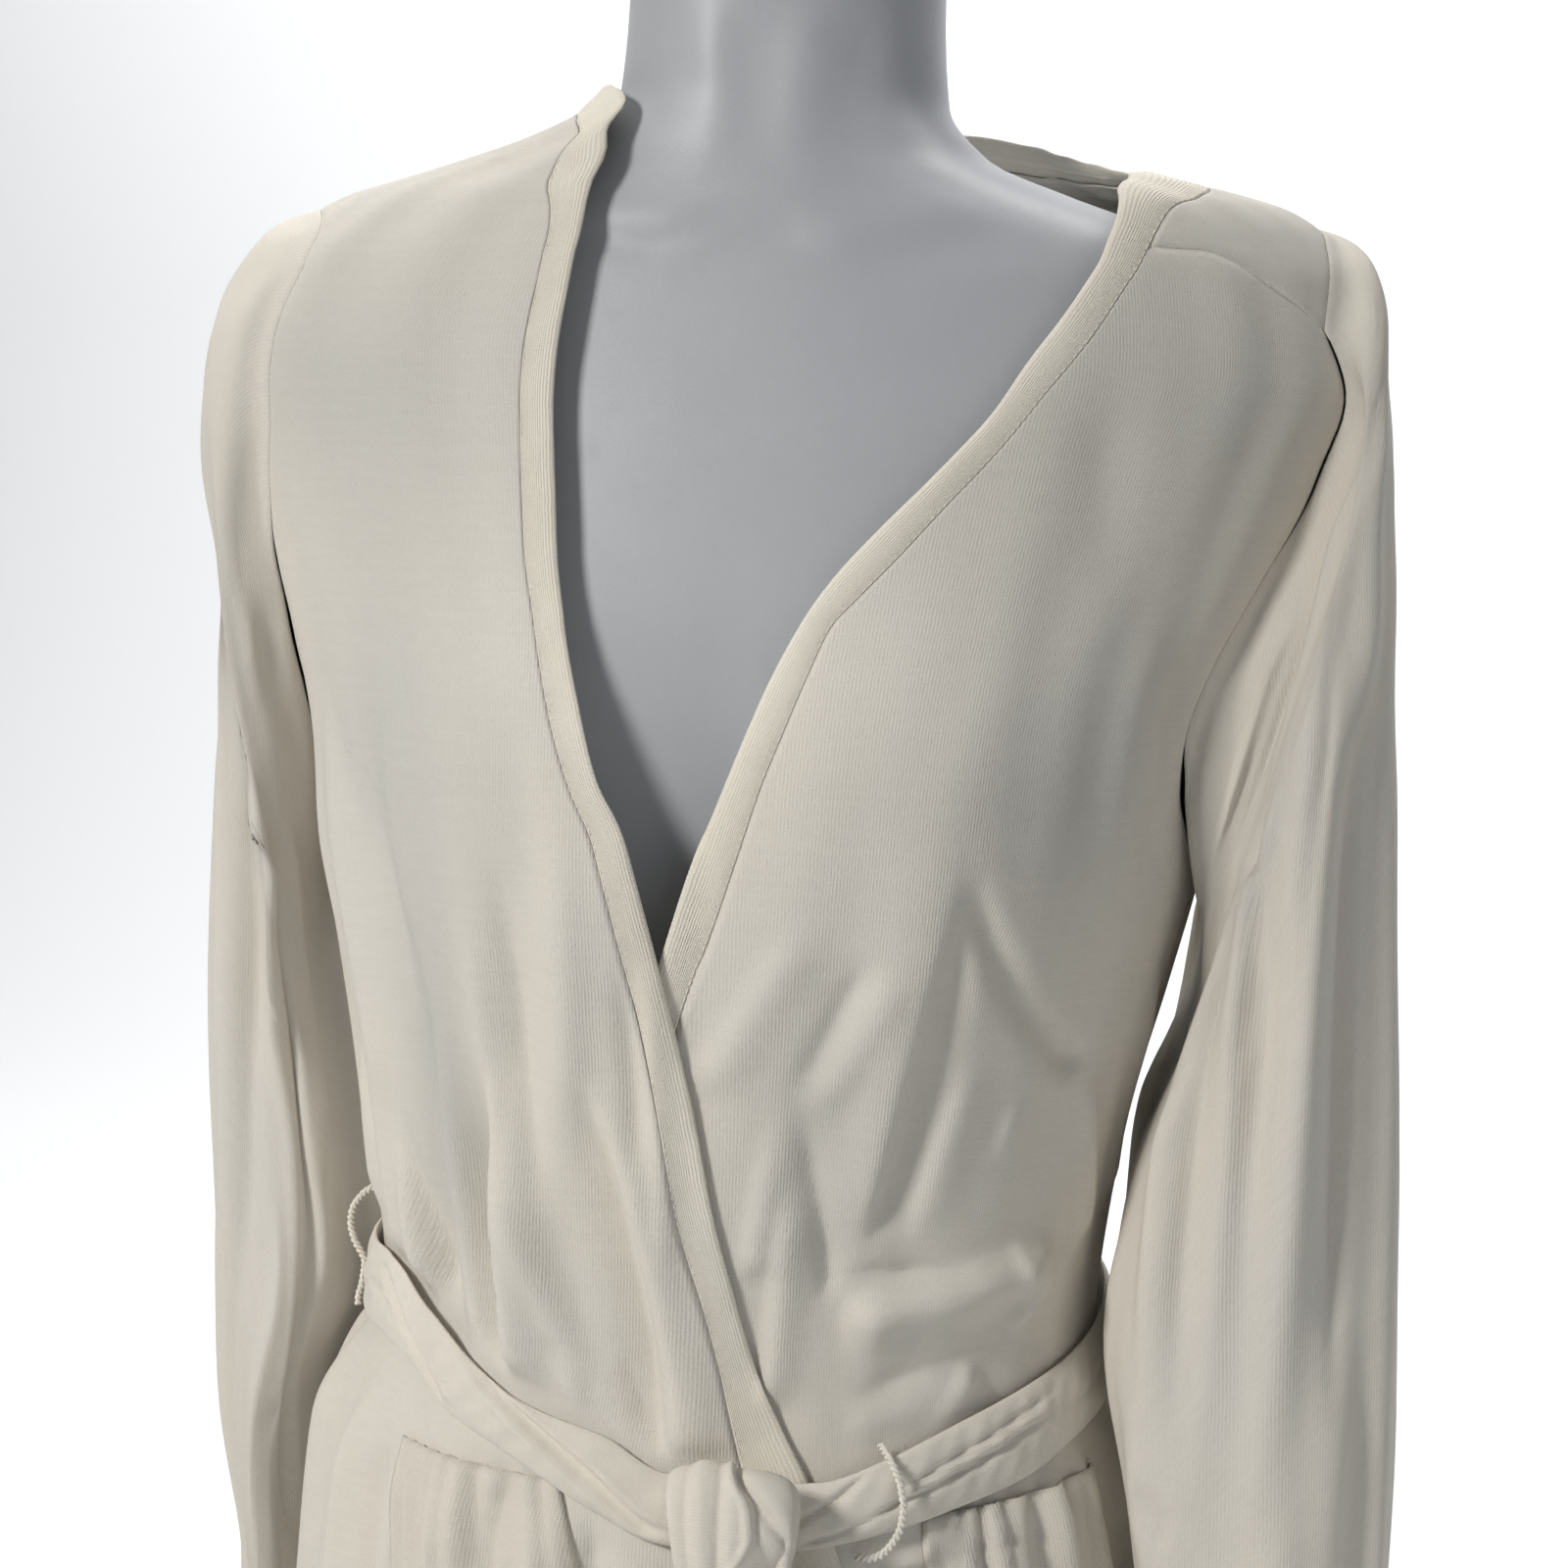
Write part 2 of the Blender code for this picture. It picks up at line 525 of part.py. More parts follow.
def side_line(armhole):
    """The outer edge of a panel: up its side seam and on up its armhole."""
    turn, top = armhole["turn"][-1], armhole["height"][-1]
    side = table("turn height", [(turn, HEM_HEIGHT), (turn, 0.28), (turn, top)])
    return np.concatenate([along(side, SIDE_ROWS), along(flipped(armhole), ARMHOLE_ROWS)[1:]])


def right_front_grid():
    """Turns and heights of the front that laps over, from its side seam to the neckband's seam."""
    columns = 26
    side = side_line(shifted(RIGHT_FRONT_ARMHOLE, -360))
    edge = (neck_line("seam", NECK_PLACES["right"]) - [360, 0])[::-1]
    hem = table("turn height", [(-90, HEM_HEIGHT), (edge[0, 0], edge[0, 1])])
    shoulder = table("turn height", [(-90, 0.704), (-90, 0.720), (-90, 0.736)])
    return patch(side, edge, along(hem, columns), along(shoulder, columns))


def left_front_grid():
    """Turns and heights of the front that lies under, from the neckband's seam to its side seam."""
    columns = 22
    edge = neck_line("seam", NECK_PLACES["left"])
    hem = table("turn height", [(edge[0, 0], edge[0, 1]), (90, HEM_HEIGHT)])
    shoulder = along(LEFT_SHOULDER_SEAM, columns)
    return patch(edge, side_line(LEFT_FRONT_ARMHOLE), along(hem, columns), shoulder)


def right_front_sheet(grid, out=0.0):
    """The right front's inner face, raised over the left front."""
    turn, height = grid[..., 0], grid[..., 1]
    return surface(turn, height, lap(turn, height) + out)


def left_front_sheet(grid, out=0.0):
    """The left front's inner face, which lies in where the right front hides it."""
    turn, height = grid[..., 0], grid[..., 1]
    return surface(turn, height, sink(turn, height) + out)


def back_panel(material):
    """The back: one patch up to a line across the shoulder blades, and a yoke over each shoulder.

    The left yoke goes over the ridge of the shoulder to its forward seam.
    """
    necks = {name: neck_line("seam", NECK_PLACES[name]) for name in ("left yoke", "back", "right yoke")}
    left_line = yoke_line(LEFT_SHOULDER_ARMHOLE, necks["left yoke"][-1])
    right_line = yoke_line(RIGHT_SHOULDER_ARMHOLE, necks["right yoke"][0])[::-1]
    top = np.concatenate([left_line[:-1], necks["back"], right_line[1:]])
    hem = along(table("turn height", [(90, HEM_HEIGHT), (180, HEM_HEIGHT), (270, HEM_HEIGHT)]), len(top))
    main = patch(side_line(LEFT_BACK_ARMHOLE), side_line(RIGHT_BACK_ARMHOLE), hem, top, "left right bottom")
    neck_part = slice(YOKE_COLUMNS, -YOKE_COLUMNS)
    seam, below = main[-1, neck_part], main[-2, neck_part]
    main[-1, neck_part] = seam + (below - seam) * trim(seam, below)
    seam = along(flipped(LEFT_SHOULDER_SEAM), YOKE_COLUMNS)
    left_yoke = patch(along(LEFT_SHOULDER_ARMHOLE, LEFT_YOKE_ROWS), necks["left yoke"][::-1],
                      main[-1, :YOKE_COLUMNS], seam, "left right top")
    left_yoke[0] = main[-1, :YOKE_COLUMNS]
    shoulder = along(table("turn height", [(270, 0.736), (270, 0.720), (270, 0.704)]), YOKE_COLUMNS)
    right_yoke = patch(necks["right yoke"], along(RIGHT_SHOULDER_ARMHOLE, RIGHT_YOKE_ROWS),
                       main[-1, -YOKE_COLUMNS:], shoulder, "left right top")
    right_yoke[0] = main[-1, -YOKE_COLUMNS:]
    points, faces, first = [], [], 0
    for grid in (main, left_yoke, right_yoke):
        points.append(surface(grid[..., 0], grid[..., 1], 0).reshape(-1, 3))
        faces += [tuple(first + k for k in face) for face in grid_faces(*grid.shape[:2], False)]
        first += len(points[-1])
    sheet = add_mesh("back", np.concatenate(points), faces, material)
    weld(sheet)
    return thicken(sheet, CLOTH_WALL, 1.0)


def yoke_line(armhole, neck_corner):
    """The line from the top of the back armhole to the neckband's seam."""
    start = np.array([armhole["turn"][0], armhole["height"][0]])
    return start + (neck_corner - start) * np.linspace(0, 1, YOKE_COLUMNS)[:, None]


def weld(thing):
    """Join the points that two patches share."""
    shape = bmesh.new()
    shape.from_mesh(thing.data)
    bmesh.ops.remove_doubles(shape, verts=shape.verts, dist=0.01 * MM)
    shape.to_mesh(thing.data)
    shape.free()


def neckband(material):
    """The binding strip, which follows both fronts' edges and the back of the neck."""
    order = ("left", "left yoke", "back", "right yoke", "right")
    places = np.concatenate([NECK_PLACES[name][:-1] for name in order] + [NECK_PLACES["right"][-1:]])
    seam, edge = neck_line("seam", places)[:, None], neck_line("edge", places)[:, None]
    across = np.array([0.03, 0.5, 1.0])[None, :, None]
    grid = seam + (edge - seam) * across
    turn, height = grid[..., 0], grid[..., 1]
    out = np.where(turn > 270, lap(turn, height), np.where(turn < 60, sink(turn, height), 0))
    return wall("neckband", surface(turn, height, out)[:, ::-1], BAND_WALL, material)


def pocket(name, sheet, grid, turns, heights, material):
    """A patch pocket: the points of the panel that it is sewn to, moved out."""
    column = np.argmin(np.abs(grid[4, :, 0][None] - np.array(turns)[:, None]), axis=1)
    row = np.argmin(np.abs(grid[:, column[0], 1][None] - np.array(heights)[:, None]), axis=1)
    part = grid[row[0]:row[1] + 1, column[0]:column[1] + 1]
    return wall(name, sheet(part, POCKET_LIFT), CLOTH_WALL, material)


def belt_lift(turn):
    """How far the belt stands off the cloth's inner face: more over the lap and the pocket."""
    bend = np.mod(np.asarray(turn, float) + 180, 360) - 180
    return 3.2 * MM + 2.8 * MM * fade((bend + 62) / 20) * fade((40 - bend) / 18)


def belt_stretch(name, first_turn, last_turn, count, material):
    """One stretch of the belt, rounded a little across its width."""
    turn = np.linspace(first_turn, last_turn, count)[None]
    across = np.linspace(0, 1, 5)[:, None]
    top, bottom = (smooth(BELT["turn"], BELT[c], turn) for c in ("top", "bottom"))
    height = bottom + (top - bottom) * across
    crown = 1.4 * MM * np.sin(np.pi * across)
    return wall(name, surface(turn, height, belt_lift(turn) + crown), BELT_WALL, material)


def belt_knot(material):
    """The knot: a plump boxy form, and the broad turn of the belt that is wrapped over its left part."""
    around, rings = 24, 12
    theta = np.linspace(0, 2 * np.pi, around, endpoint=False)[None]
    lift = np.linspace(0.07, 0.93, rings)[:, None] * np.pi
    waves = (np.cos(theta), np.sin(theta), np.sin(lift), np.cos(lift))
    boxy = [np.sign(v) * np.abs(v) ** 0.8 for v in waves]
    x = 0.0215 * boxy[2] * boxy[0]
    z = 0.0215 * boxy[3] + 0 * theta
    y = 0.0090 * boxy[2] * boxy[1]
    wrap = 0.0045 * (fade((x + 0.0185) / 0.004) - fade((x - 0.005 - 0.35 * z) / 0.005)) * (y < 0)
    middle = surface(7.0, KNOT_CENTRE[1], 20.0 * MM)
    x = x * (1 - 0.22 * fade(0.5 - z / 0.04)) - 0.04 * z
    grid = np.stack([x + KNOT_CENTRE[0], y - wrap + middle[1], z + KNOT_CENTRE[1]], -1)
    return closed_solid("belt_knot", grid[::-1], material)


def belt_tail(side, material):
    """A loose end of the belt, which hangs from the knot on the right front."""
    top_turn, foot_turn, foot = TAILS[side]
    down = fade(np.linspace(0, 1, 14)[:, None]) * 0.4 + np.linspace(0, 1, 14)[:, None] * 0.6
    across = np.linspace(-1, 1, 4)[None]
    height = foot + (TAIL_TOP - foot) * down
    half = np.degrees(TAIL_HALF_WIDTH / 0.15) * (0.55 + 0.45 * fade((1 - down) / 0.4))
    turn = foot_turn + (top_turn - foot_turn) * down + across * half
    lift = {"right": 7.0 * MM, "left": 8.6 * MM}[side] + 5 * MM * fade((down - 0.84) / 0.16)
    return wall(f"belt_tail_{side}", surface(turn, height, lift), BELT_WALL, material)


def thread_loop(name, route, material):
    """A thread chain that carries the belt: a round tube along a short curved route."""
    rows = np.arange(len(route["turn"]), dtype=float)
    fine = np.linspace(0, rows[-1], 15)
    turn, height, out = (smooth(rows, route[name], fine) for name in ("turn", "height", "out"))
    points = surface(turn, height, out)
    curve = bpy.data.curves.new(name, "CURVE")
    curve.dimensions = "3D"
    curve.bevel_depth = THREAD_WIDTH / 2
    curve.bevel_resolution = 2
    curve.use_fill_caps = True
    spline = curve.splines.new("POLY")
    spline.points.add(len(points) - 1)
    for place, point in zip(spline.points, points):
        place.co = (*point, 1)
    curve.materials.append(material)
    thing = bpy.data.objects.new(name, curve)
    bpy.data.collections["wrap top"].objects.link(thing)


def clear_of_body(points, inner, outer, side):
    """Squeeze a sleeve's rings outwards until their inner side is just clear of the body and the belt."""
    x, y, height = points[..., 0] * side, points[..., 1], points[..., 2]
    gap = smooth(SLEEVE_CLEAR["height"], SLEEVE_CLEAR["gap"], height)
    half = smooth(BODY["height"], BODY["left" if side > 0 else "right"], height) + gap
    depth = np.where(y < 0, smooth(BODY["height"], BODY["front"], height),
                     smooth(BODY["height"], BODY["back"], height))
    flank = half * np.clip(1 - np.abs(y / (depth + gap)) ** ROUNDNESS, 0, 1) ** (1 / ROUNDNESS)
    low = fade((0.50 - height) / 0.05)
    share = np.clip((outer - x) / (outer - inner), 0, 1)
    moved = x + share * np.maximum(flank - inner, 0) * low
    moved = np.where((moved < flank) & (low > 0.99), flank, moved)
    return np.stack([moved * side, y, height], -1)


def sleeve(side_name, sizes, side, loop, front_count, material):
    """A sleeve: rings that start as the armhole and hang down from the end of the shoulder."""
    around, rings = len(loop), 18
    rows = np.arange(len(sizes["outer"]), dtype=float)
    at = np.linspace(0, rows[-1], rings)
    ring = {key: smooth(rows, column, at)[:, None] for key, column in sizes.items()}
    angle = np.interp(np.arange(around), [0, front_count, around], [0, np.pi, 2 * np.pi])[None]
    cosine, sine = (np.sign(v) * np.abs(v) ** 0.85 for v in (np.cos(angle), np.sin(angle)))
    x = (ring["outer"] + ring["inner"]) / 2 + (ring["outer"] - ring["inner"]) / 2 * cosine
    y = ring["middle"] - ring["depth"] * sine
    rise = (ring["outer_height"] - ring["inner_height"]) / 2
    z = ring["inner_height"] + rise * (1 + cosine)
    share = (at / rows[-1])[:, None]
    swell = np.zeros((rings, around))
    for k in range(len(SLEEVE_FOLDS["around"])):
        f = {name: column[k] for name, column in SLEEVE_FOLDS.items()}
        line = f["around"] + f["drift"] * np.sin(5 * share + k)
        apart = np.mod(np.degrees(angle) - line + 180, 360) - 180
        swell = swell + f["depth"] * np.exp(-(apart / f["width"]) ** 2)
    swell = (swell - 0.0035) * fade((share - 0.16) / 0.22)
    oval = np.stack([(x + swell * cosine) * side, y - swell * sine, z], -1)
    blend = (1 - fade(share / 0.30))[..., None]
    points = evened(oval + (loop[None] - oval[:1]) * blend)
    points[1:] = clear_of_body(points[1:], ring["inner"][1:], ring["outer"][1:], side)
    if side < 0:
        points = points[:, ::-1]
    return wall(f"sleeve_{side_name}", points, CLOTH_WALL, material, closed=True, offset=-1.0)


def evened(points):
    """Even out the spacing of a sleeve's first rings, each point along its own line down the sleeve."""
    share = fade((10 - np.arange(1, len(points) - 1)) / 6)[:, None, None]
    for _ in range(8):
        line = points[2:] - points[:-2]
        line /= np.linalg.norm(line, axis=-1, keepdims=True)
        uneven = (points[:-2] + points[2:]) / 2 - points[1:-1]
        points[1:-1] += line * np.sum(uneven * line, axis=-1, keepdims=True) * share
    return points


def armhole_loop(front, back, shoulder, ridge, side):
    """The sleeve's first ring, from the ridge of the shoulder down the front and up the back.

    It has the panels' own points, lifted level with their outer faces and moved just off their edges.
    """
    ring = np.concatenate([shoulder[ridge:-1], along(front, ARMHOLE_ROWS)[:-1],
                           along(flipped(back), ARMHOLE_ROWS)[:-1], shoulder[:ridge]])
    lift = CLOTH_WALL + 0.9 * MM * fade((0.60 - ring[:, 1]) / 0.1)
    points = surface(ring[:, 0], ring[:, 1], lift)
    ahead, behind = np.roll(points, -1, axis=0), np.roll(points, 1, axis=0)
    normal = surface(ring[:, 0], ring[:, 1], lift + MM) - points
    away = np.cross(normal, ahead - behind) * side
    away /= np.linalg.norm(away, axis=-1, keepdims=True)
    return points + away * 0.5 * MM


def build():
    """Make every piece of the garment and the form that carries it."""
    for thing in list(bpy.data.objects):
        bpy.data.objects.remove(thing)
    bpy.context.scene.collection.children.link(bpy.data.collections.new("wrap top"))
    jersey = make_material("jersey", CREAM, 0.85)
    binding = make_material("neckband jersey", BAND_CREAM, 0.8)
    thread = make_material("thread", CREAM, 0.8)
    form = make_material("form plastic", FORM_GREY, 0.45)
    dress_form(form)
    back_panel(jersey)
    right_grid, left_grid = right_front_grid(), left_front_grid()
    wall("front_right", right_front_sheet(right_grid), CLOTH_WALL, jersey)
    wall("front_left", left_front_sheet(left_grid), CLOTH_WALL, jersey)
    neckband(binding)
    right_shoulder = along(RIGHT_SHOULDER_ARMHOLE, RIGHT_YOKE_ROWS)
    ridge = RIGHT_YOKE_ROWS - 1
    right_loop = armhole_loop(RIGHT_FRONT_ARMHOLE, RIGHT_BACK_ARMHOLE, right_shoulder, ridge, -1)
    sleeve("right", RIGHT_SLEEVE, -1, right_loop, ARMHOLE_ROWS - 1, jersey)
    left_shoulder = along(LEFT_SHOULDER_ARMHOLE, LEFT_YOKE_ROWS)
    ridge = int(np.argmin(np.abs(left_shoulder[:, 0] - 90)))
    left_loop = armhole_loop(LEFT_FRONT_ARMHOLE, LEFT_BACK_ARMHOLE, left_shoulder, ridge, 1)
    sleeve("left", LEFT_SLEEVE, 1, left_loop, LEFT_YOKE_ROWS - 1 - ridge + ARMHOLE_ROWS - 1, jersey)
    pocket("pocket_right", right_front_sheet, right_grid, (-39, -5), (0.165, 0.312), jersey)
    pocket("pocket_left", left_front_sheet, left_grid, (28, 66), (0.160, 0.298), jersey)
    belt_stretch("belt_left", 10.5, 89.6, 15, jersey)
    belt_stretch("belt_back", 90.0, 269.6, 26, jersey)
    belt_stretch("belt_right", 270.0, 368.5, 22, jersey)
    belt_knot(jersey)
    belt_tail("right", jersey)
    belt_tail("left", jersey)
    thread_loop("belt_loop_left", BELT_LOOP_LEFT, thread)
    thread_loop("belt_loop_right", BELT_LOOP_RIGHT, thread)


build()
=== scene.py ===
"""Looks of a wrap top in fine jersey on a limbless dress form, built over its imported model.

The body of the garment is one surface, given by a turn about the upright axis and a height: 0 degrees is
the centre front, 90 the wearer's left side, 180 the back and 270 the right side. Every panel is a patch
of it between its seams. Metres, Z up, origin at the middle of the form's base.
"""
import math

import bpy
import numpy as np
from mathutils import Matrix


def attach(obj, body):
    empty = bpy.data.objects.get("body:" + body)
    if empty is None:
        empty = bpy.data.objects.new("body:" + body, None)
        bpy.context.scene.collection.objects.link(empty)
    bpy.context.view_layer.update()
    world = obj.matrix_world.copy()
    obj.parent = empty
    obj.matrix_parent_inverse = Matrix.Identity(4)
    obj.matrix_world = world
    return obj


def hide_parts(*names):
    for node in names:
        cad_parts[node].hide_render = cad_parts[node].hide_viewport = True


bl_info = {
    "name": "Wrap top on a dress form",
    "version": (1, 0, 0),
    "blender": (4, 5, 0),
    "location": "3D View > Sidebar > Wrap Top",
    "description": "Jersey wrap top with a tie belt, on a limbless dress form",
    "category": "Add Mesh",
}

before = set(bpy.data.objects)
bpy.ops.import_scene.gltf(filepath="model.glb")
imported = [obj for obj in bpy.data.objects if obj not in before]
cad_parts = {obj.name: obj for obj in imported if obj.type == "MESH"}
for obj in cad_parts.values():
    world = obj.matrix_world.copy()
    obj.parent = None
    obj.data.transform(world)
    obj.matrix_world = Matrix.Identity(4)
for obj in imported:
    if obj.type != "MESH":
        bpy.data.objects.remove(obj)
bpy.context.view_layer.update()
MM = 0.001
RIGHT = -1
LEFT = 1


def table(columns, rows):
    """Named columns from short rows of sizes."""
    return dict(zip(columns.split(), np.array(rows, float).T))


# Half-widths and depths of the cloth's inner face at each height.
BODY = table("height right left front back", [
    (0.065, 0.157, 0.162, 0.126, 0.136),
    (0.15, 0.153, 0.156, 0.121, 0.13),
    (0.22, 0.1475, 0.148, 0.116, 0.121),
    (0.29, 0.1425, 0.133, 0.108, 0.104),
    (0.345, 0.124, 0.121, 0.1, 0.086),
    (0.4, 0.13, 0.127, 0.103, 0.088),
    (0.455, 0.1385, 0.139, 0.105, 0.094),
    (0.495, 0.1465, 0.148, 0.104, 0.097),
    (0.545, 0.157, 0.157, 0.098, 0.1),
    (0.585, 0.17, 0.17, 0.089, 0.099),
    (0.625, 0.186, 0.186, 0.08, 0.097),
    (0.655, 0.196, 0.197, 0.073, 0.093),
    (0.683, 0.183, 0.193, 0.067, 0.087),
    (0.697, 0.166, 0.183, 0.064, 0.083),
    (0.706, 0.15, 0.17, 0.062, 0.08),
    (0.712, 0.13, 0.15, 0.06, 0.078),
    (0.718, 0.11, 0.122, 0.059, 0.077),
    (0.726, 0.086, 0.106, 0.0575, 0.075),
    (0.735, 0.067, 0.098, 0.0565, 0.073),
    (0.745, 0.0575, 0.093, 0.0555, 0.071),
    (0.755, 0.0565, 0.091, 0.055, 0.07),
])
# The same for the dress form, which is alike on both sides.
FORM = table("height right left front back", [
    (0, 0.138, 0.138, 0.086, 0.098),
    (0.06, 0.146, 0.146, 0.091, 0.106),
    (0.145, 0.148, 0.146, 0.093, 0.108),
    (0.245, 0.135, 0.128, 0.091, 0.092),
    (0.305, 0.12, 0.117, 0.084, 0.074),
    (0.345, 0.113, 0.111, 0.08, 0.068),
    (0.395, 0.117, 0.116, 0.084, 0.072),
    (0.455, 0.13, 0.13, 0.092, 0.082),
    (0.51, 0.141, 0.141, 0.092, 0.089),
    (0.565, 0.154, 0.154, 0.085, 0.092),
    (0.605, 0.171, 0.171, 0.076, 0.091),
    (0.64, 0.184, 0.184, 0.068, 0.087),
    (0.66, 0.186, 0.186, 0.063, 0.083),
    (0.68, 0.173, 0.173, 0.059, 0.078),
    (0.692, 0.153, 0.153, 0.057, 0.074),
    (0.702, 0.127, 0.127, 0.055, 0.07),
    (0.712, 0.097, 0.097, 0.053, 0.066),
    (0.723, 0.07, 0.07, 0.0515, 0.06),
    (0.742, 0.0545, 0.0545, 0.05, 0.055),
    (0.775, 0.052, 0.052, 0.05, 0.051),
    (0.835, 0.0515, 0.0515, 0.05, 0.05),
])
ROUNDNESS = 2.25
BUST = {"across": 0.085, "height": 0.520, "spread": 0.048, "above": 0.055}
CLOTH_BUST = {"depth": 0.022, "below": 0.085, "bridge": 0.45}
FORM_BUST = {"depth": 0.021, "below": 0.052, "bridge": None}
HEM_HEIGHT = 0.065
FORM_TOP = 0.835
FORM_BEVEL = 3 * MM
FORM_RINGS = 260
FORM_AROUND = 168
# How far the right front is raised over the left one, from how many degrees before the left edge, over how
# many degrees, up to which height, and how high it dies away; and the same for the left front, which sinks.
LAP_RAISE = 2.6 * MM
LAP = {"before": 16.0, "turns": 9.0, "top": 0.520, "rise": 0.035}
HIDDEN_SINK = 2.6 * MM
SINK = {"turns": 8.0, "top": 0.455, "rise": 0.030}
SEAM_HALF_WIDTH = 1.7 * MM
# How deep the cloth dips, in millimetres, at a side seam, at a shoulder seam and at the neckband.
SEAM_DIP = 0.4
YOKE_DIP = 0.5
NECK_DIPS = {"front_right": 0.05, "front_left": 0.10, "yoke": 0.10, "back": 0.12}
HEM_DEPTH = 20 * MM
HEM_THICKER = 0.35 * MM
HEM_GROOVE = 0.45 * MM
CLOTH_ARC_RADIUS = 0.135
# How far apart the two points are that give a surface's slope, upwards and in degrees round.
PROBE = 0.5 * MM
PROBE_TURN = 0.3

# The neckband: its free edge and its seam, up the left front, round the neck and down the right front.
NECKBAND = table("edge_turn edge_height seam_turn seam_height", [
    (-34, 0.066, -30, 0.066),
    (-33, 0.2, -29, 0.2),
    (-31, 0.28, -26.5, 0.279),
    (-27, 0.315, -22.5, 0.313),
    (-19, 0.36, -14.5, 0.358),
    (-12, 0.405, -7.8, 0.403),
    (-6.5, 0.445, -2.8, 0.443),
    (-2.8, 0.48, 0.6, 0.478),
    (0, 0.511, 3.4, 0.509),
    (1.7, 0.529, 5, 0.527),
    (3.2, 0.544, 6.6, 0.542),
    (4.7, 0.558, 8, 0.556),
    (7.2, 0.577, 9.8, 0.573),
    (9.2, 0.588, 11.8, 0.581),
    (12.7, 0.603, 15.3, 0.595),
    (16.7, 0.619, 18.9, 0.611),
    (20.7, 0.637, 23, 0.629),
    (23.2, 0.653, 26.2, 0.647),
    (27.2, 0.67, 30.3, 0.664),
    (31.2, 0.686, 34.6, 0.681),
    (34.2, 0.696, 38.2, 0.692),
    (41.2, 0.709, 45.5, 0.704),
    (60, 0.716, 64, 0.711),
    (90, 0.7205, 90, 0.7165),
    (105, 0.7265, 105, 0.7195),
    (120, 0.733, 120, 0.723),
    (135, 0.739, 135, 0.7275),
    (150, 0.7425, 150, 0.7305),
    (180, 0.743, 180, 0.731),
    (210, 0.742, 210, 0.73),
    (240, 0.744, 240, 0.7325),
    (270, 0.746, 270, 0.736),
    (295, 0.743, 290, 0.734),
    (318.3, 0.737, 321.5, 0.7245),
    (330, 0.725, 331.5, 0.714),
    (337.8, 0.717, 336.5, 0.706),
    (343.2, 0.702, 339.4, 0.699),
    (344.8, 0.687, 341.4, 0.686),
    (345.3, 0.661, 342, 0.661),
    (344.8, 0.628, 341.4, 0.628),
    (344.8, 0.596, 341.2, 0.596),
    (345.8, 0.57, 342.4, 0.569),
    (347.8, 0.547, 344.3, 0.545),
    (350.2, 0.525, 347, 0.523),
    (352.8, 0.511, 349.4, 0.509),
    (356.8, 0.467, 353.3, 0.465),
    (359.3, 0.434, 355.8, 0.432),
    (361.7, 0.395, 358.2, 0.394),
    (364.2, 0.37, 360.4, 0.369),
    (367, 0.347, 362.6, 0.346),
    (371, 0.326, 364.6, 0.324),
    (374.7, 0.309, 366.4, 0.308),
    (379, 0.28, 371.5, 0.28),
    (383, 0.2, 377, 0.2),
    (386, 0.066, 381.6, 0.066),
])
# The band's cross-section: shares from its seam to its edge, and millimetres out.
NECKBAND_PROFILE = table("across out", [
    (0, 0.7), (0.05, 0.95), (0.12, 1.15), (0.24, 1.35), (0.42, 1.52), (0.62, 1.6), (0.8, 1.52),
    (0.92, 1.25), (0.99, 0.75), (0.97, 0.2), (0.8, 0), (0.5, 0), (0.1, 0),
])
STITCH_ACROSS = 0.055
STITCH_OUT = 1.0 * MM
NECKBAND_WIDTH = 0.013
# Rows of the neckband's table where a panel begins or ends along it: the left front, the yokes, the right.
LEFT_CORNER_ROW = 20
LEFT_YOKE_ROW = 25
RIGHT_YOKE_ROW = 30
RIGHT_NECK_ROW = 31

# How many points each edge of the panels has, and those of the plain shape that the sleeves start from.
NECK_COLUMNS = 78
YOKE_COLUMNS = 29
LEFT_YOKE_ROWS = 57
RIGHT_YOKE_ROWS = 29
SIDE_ROWS = 145
ARMHOLE_ROWS = 100
PANEL_ROWS = SIDE_ROWS + ARMHOLE_ROWS - 1
RIGHT_COLUMNS = 116
LEFT_COLUMNS = 104
PLAIN_ARMHOLE_ROWS = 12
PLAIN_RINGS = 18
PLAIN_YOKE_ROWS = {RIGHT: 5, LEFT: 9}
SLEEVE_REFINE = {RIGHT: 6, LEFT: 5}
SLEEVE_REFINE_DOWN = 12
# Two more rings take up the dip of a sleeve's seam, each at a share of the way to the ring after it.
SLEEVE_FIRST_RINGS = (0.6, 0.3)

# Side seams, armholes and shoulder seams.
RIGHT_FRONT_ARMHOLE = table("turn height", [
    (270, 0.704), (290, 0.701), (303, 0.693), (307.8, 0.679), (308.3, 0.66), (304.8, 0.634),
    (297.8, 0.609), (285, 0.561), (278, 0.528), (270, 0.497),
])
RIGHT_SHOULDER_ARMHOLE = table("turn height", [(248.0, 0.697), (258.0, 0.702), (270.0, 0.704)])
RIGHT_BACK_ARMHOLE = table("turn height", [
    (248, 0.697), (238, 0.682), (235, 0.655), (236, 0.62), (242, 0.572), (252, 0.525),
    (270, 0.497),
])
LEFT_SHOULDER_ARMHOLE = table("turn height", [
    (112, 0.699), (101, 0.705), (90, 0.707), (76, 0.699), (67, 0.686), (63.5, 0.669),
])
LEFT_FRONT_ARMHOLE = table("turn height", [
    (63.5, 0.669), (67, 0.657), (70.8, 0.64), (72.3, 0.616), (69, 0.589),
    (64.5, 0.562), (63, 0.544), (65.5, 0.523), (75, 0.504), (90, 0.493),
])
LEFT_BACK_ARMHOLE = table("turn height", [
    (112, 0.699), (121, 0.684), (125, 0.657), (124, 0.622), (118, 0.572), (108, 0.523),
    (90, 0.493),
])
LEFT_SHOULDER_SEAM = table("turn height", [(38.2, 0.692), (44.7, 0.6915), (53.7, 0.682), (63.5, 0.669)])
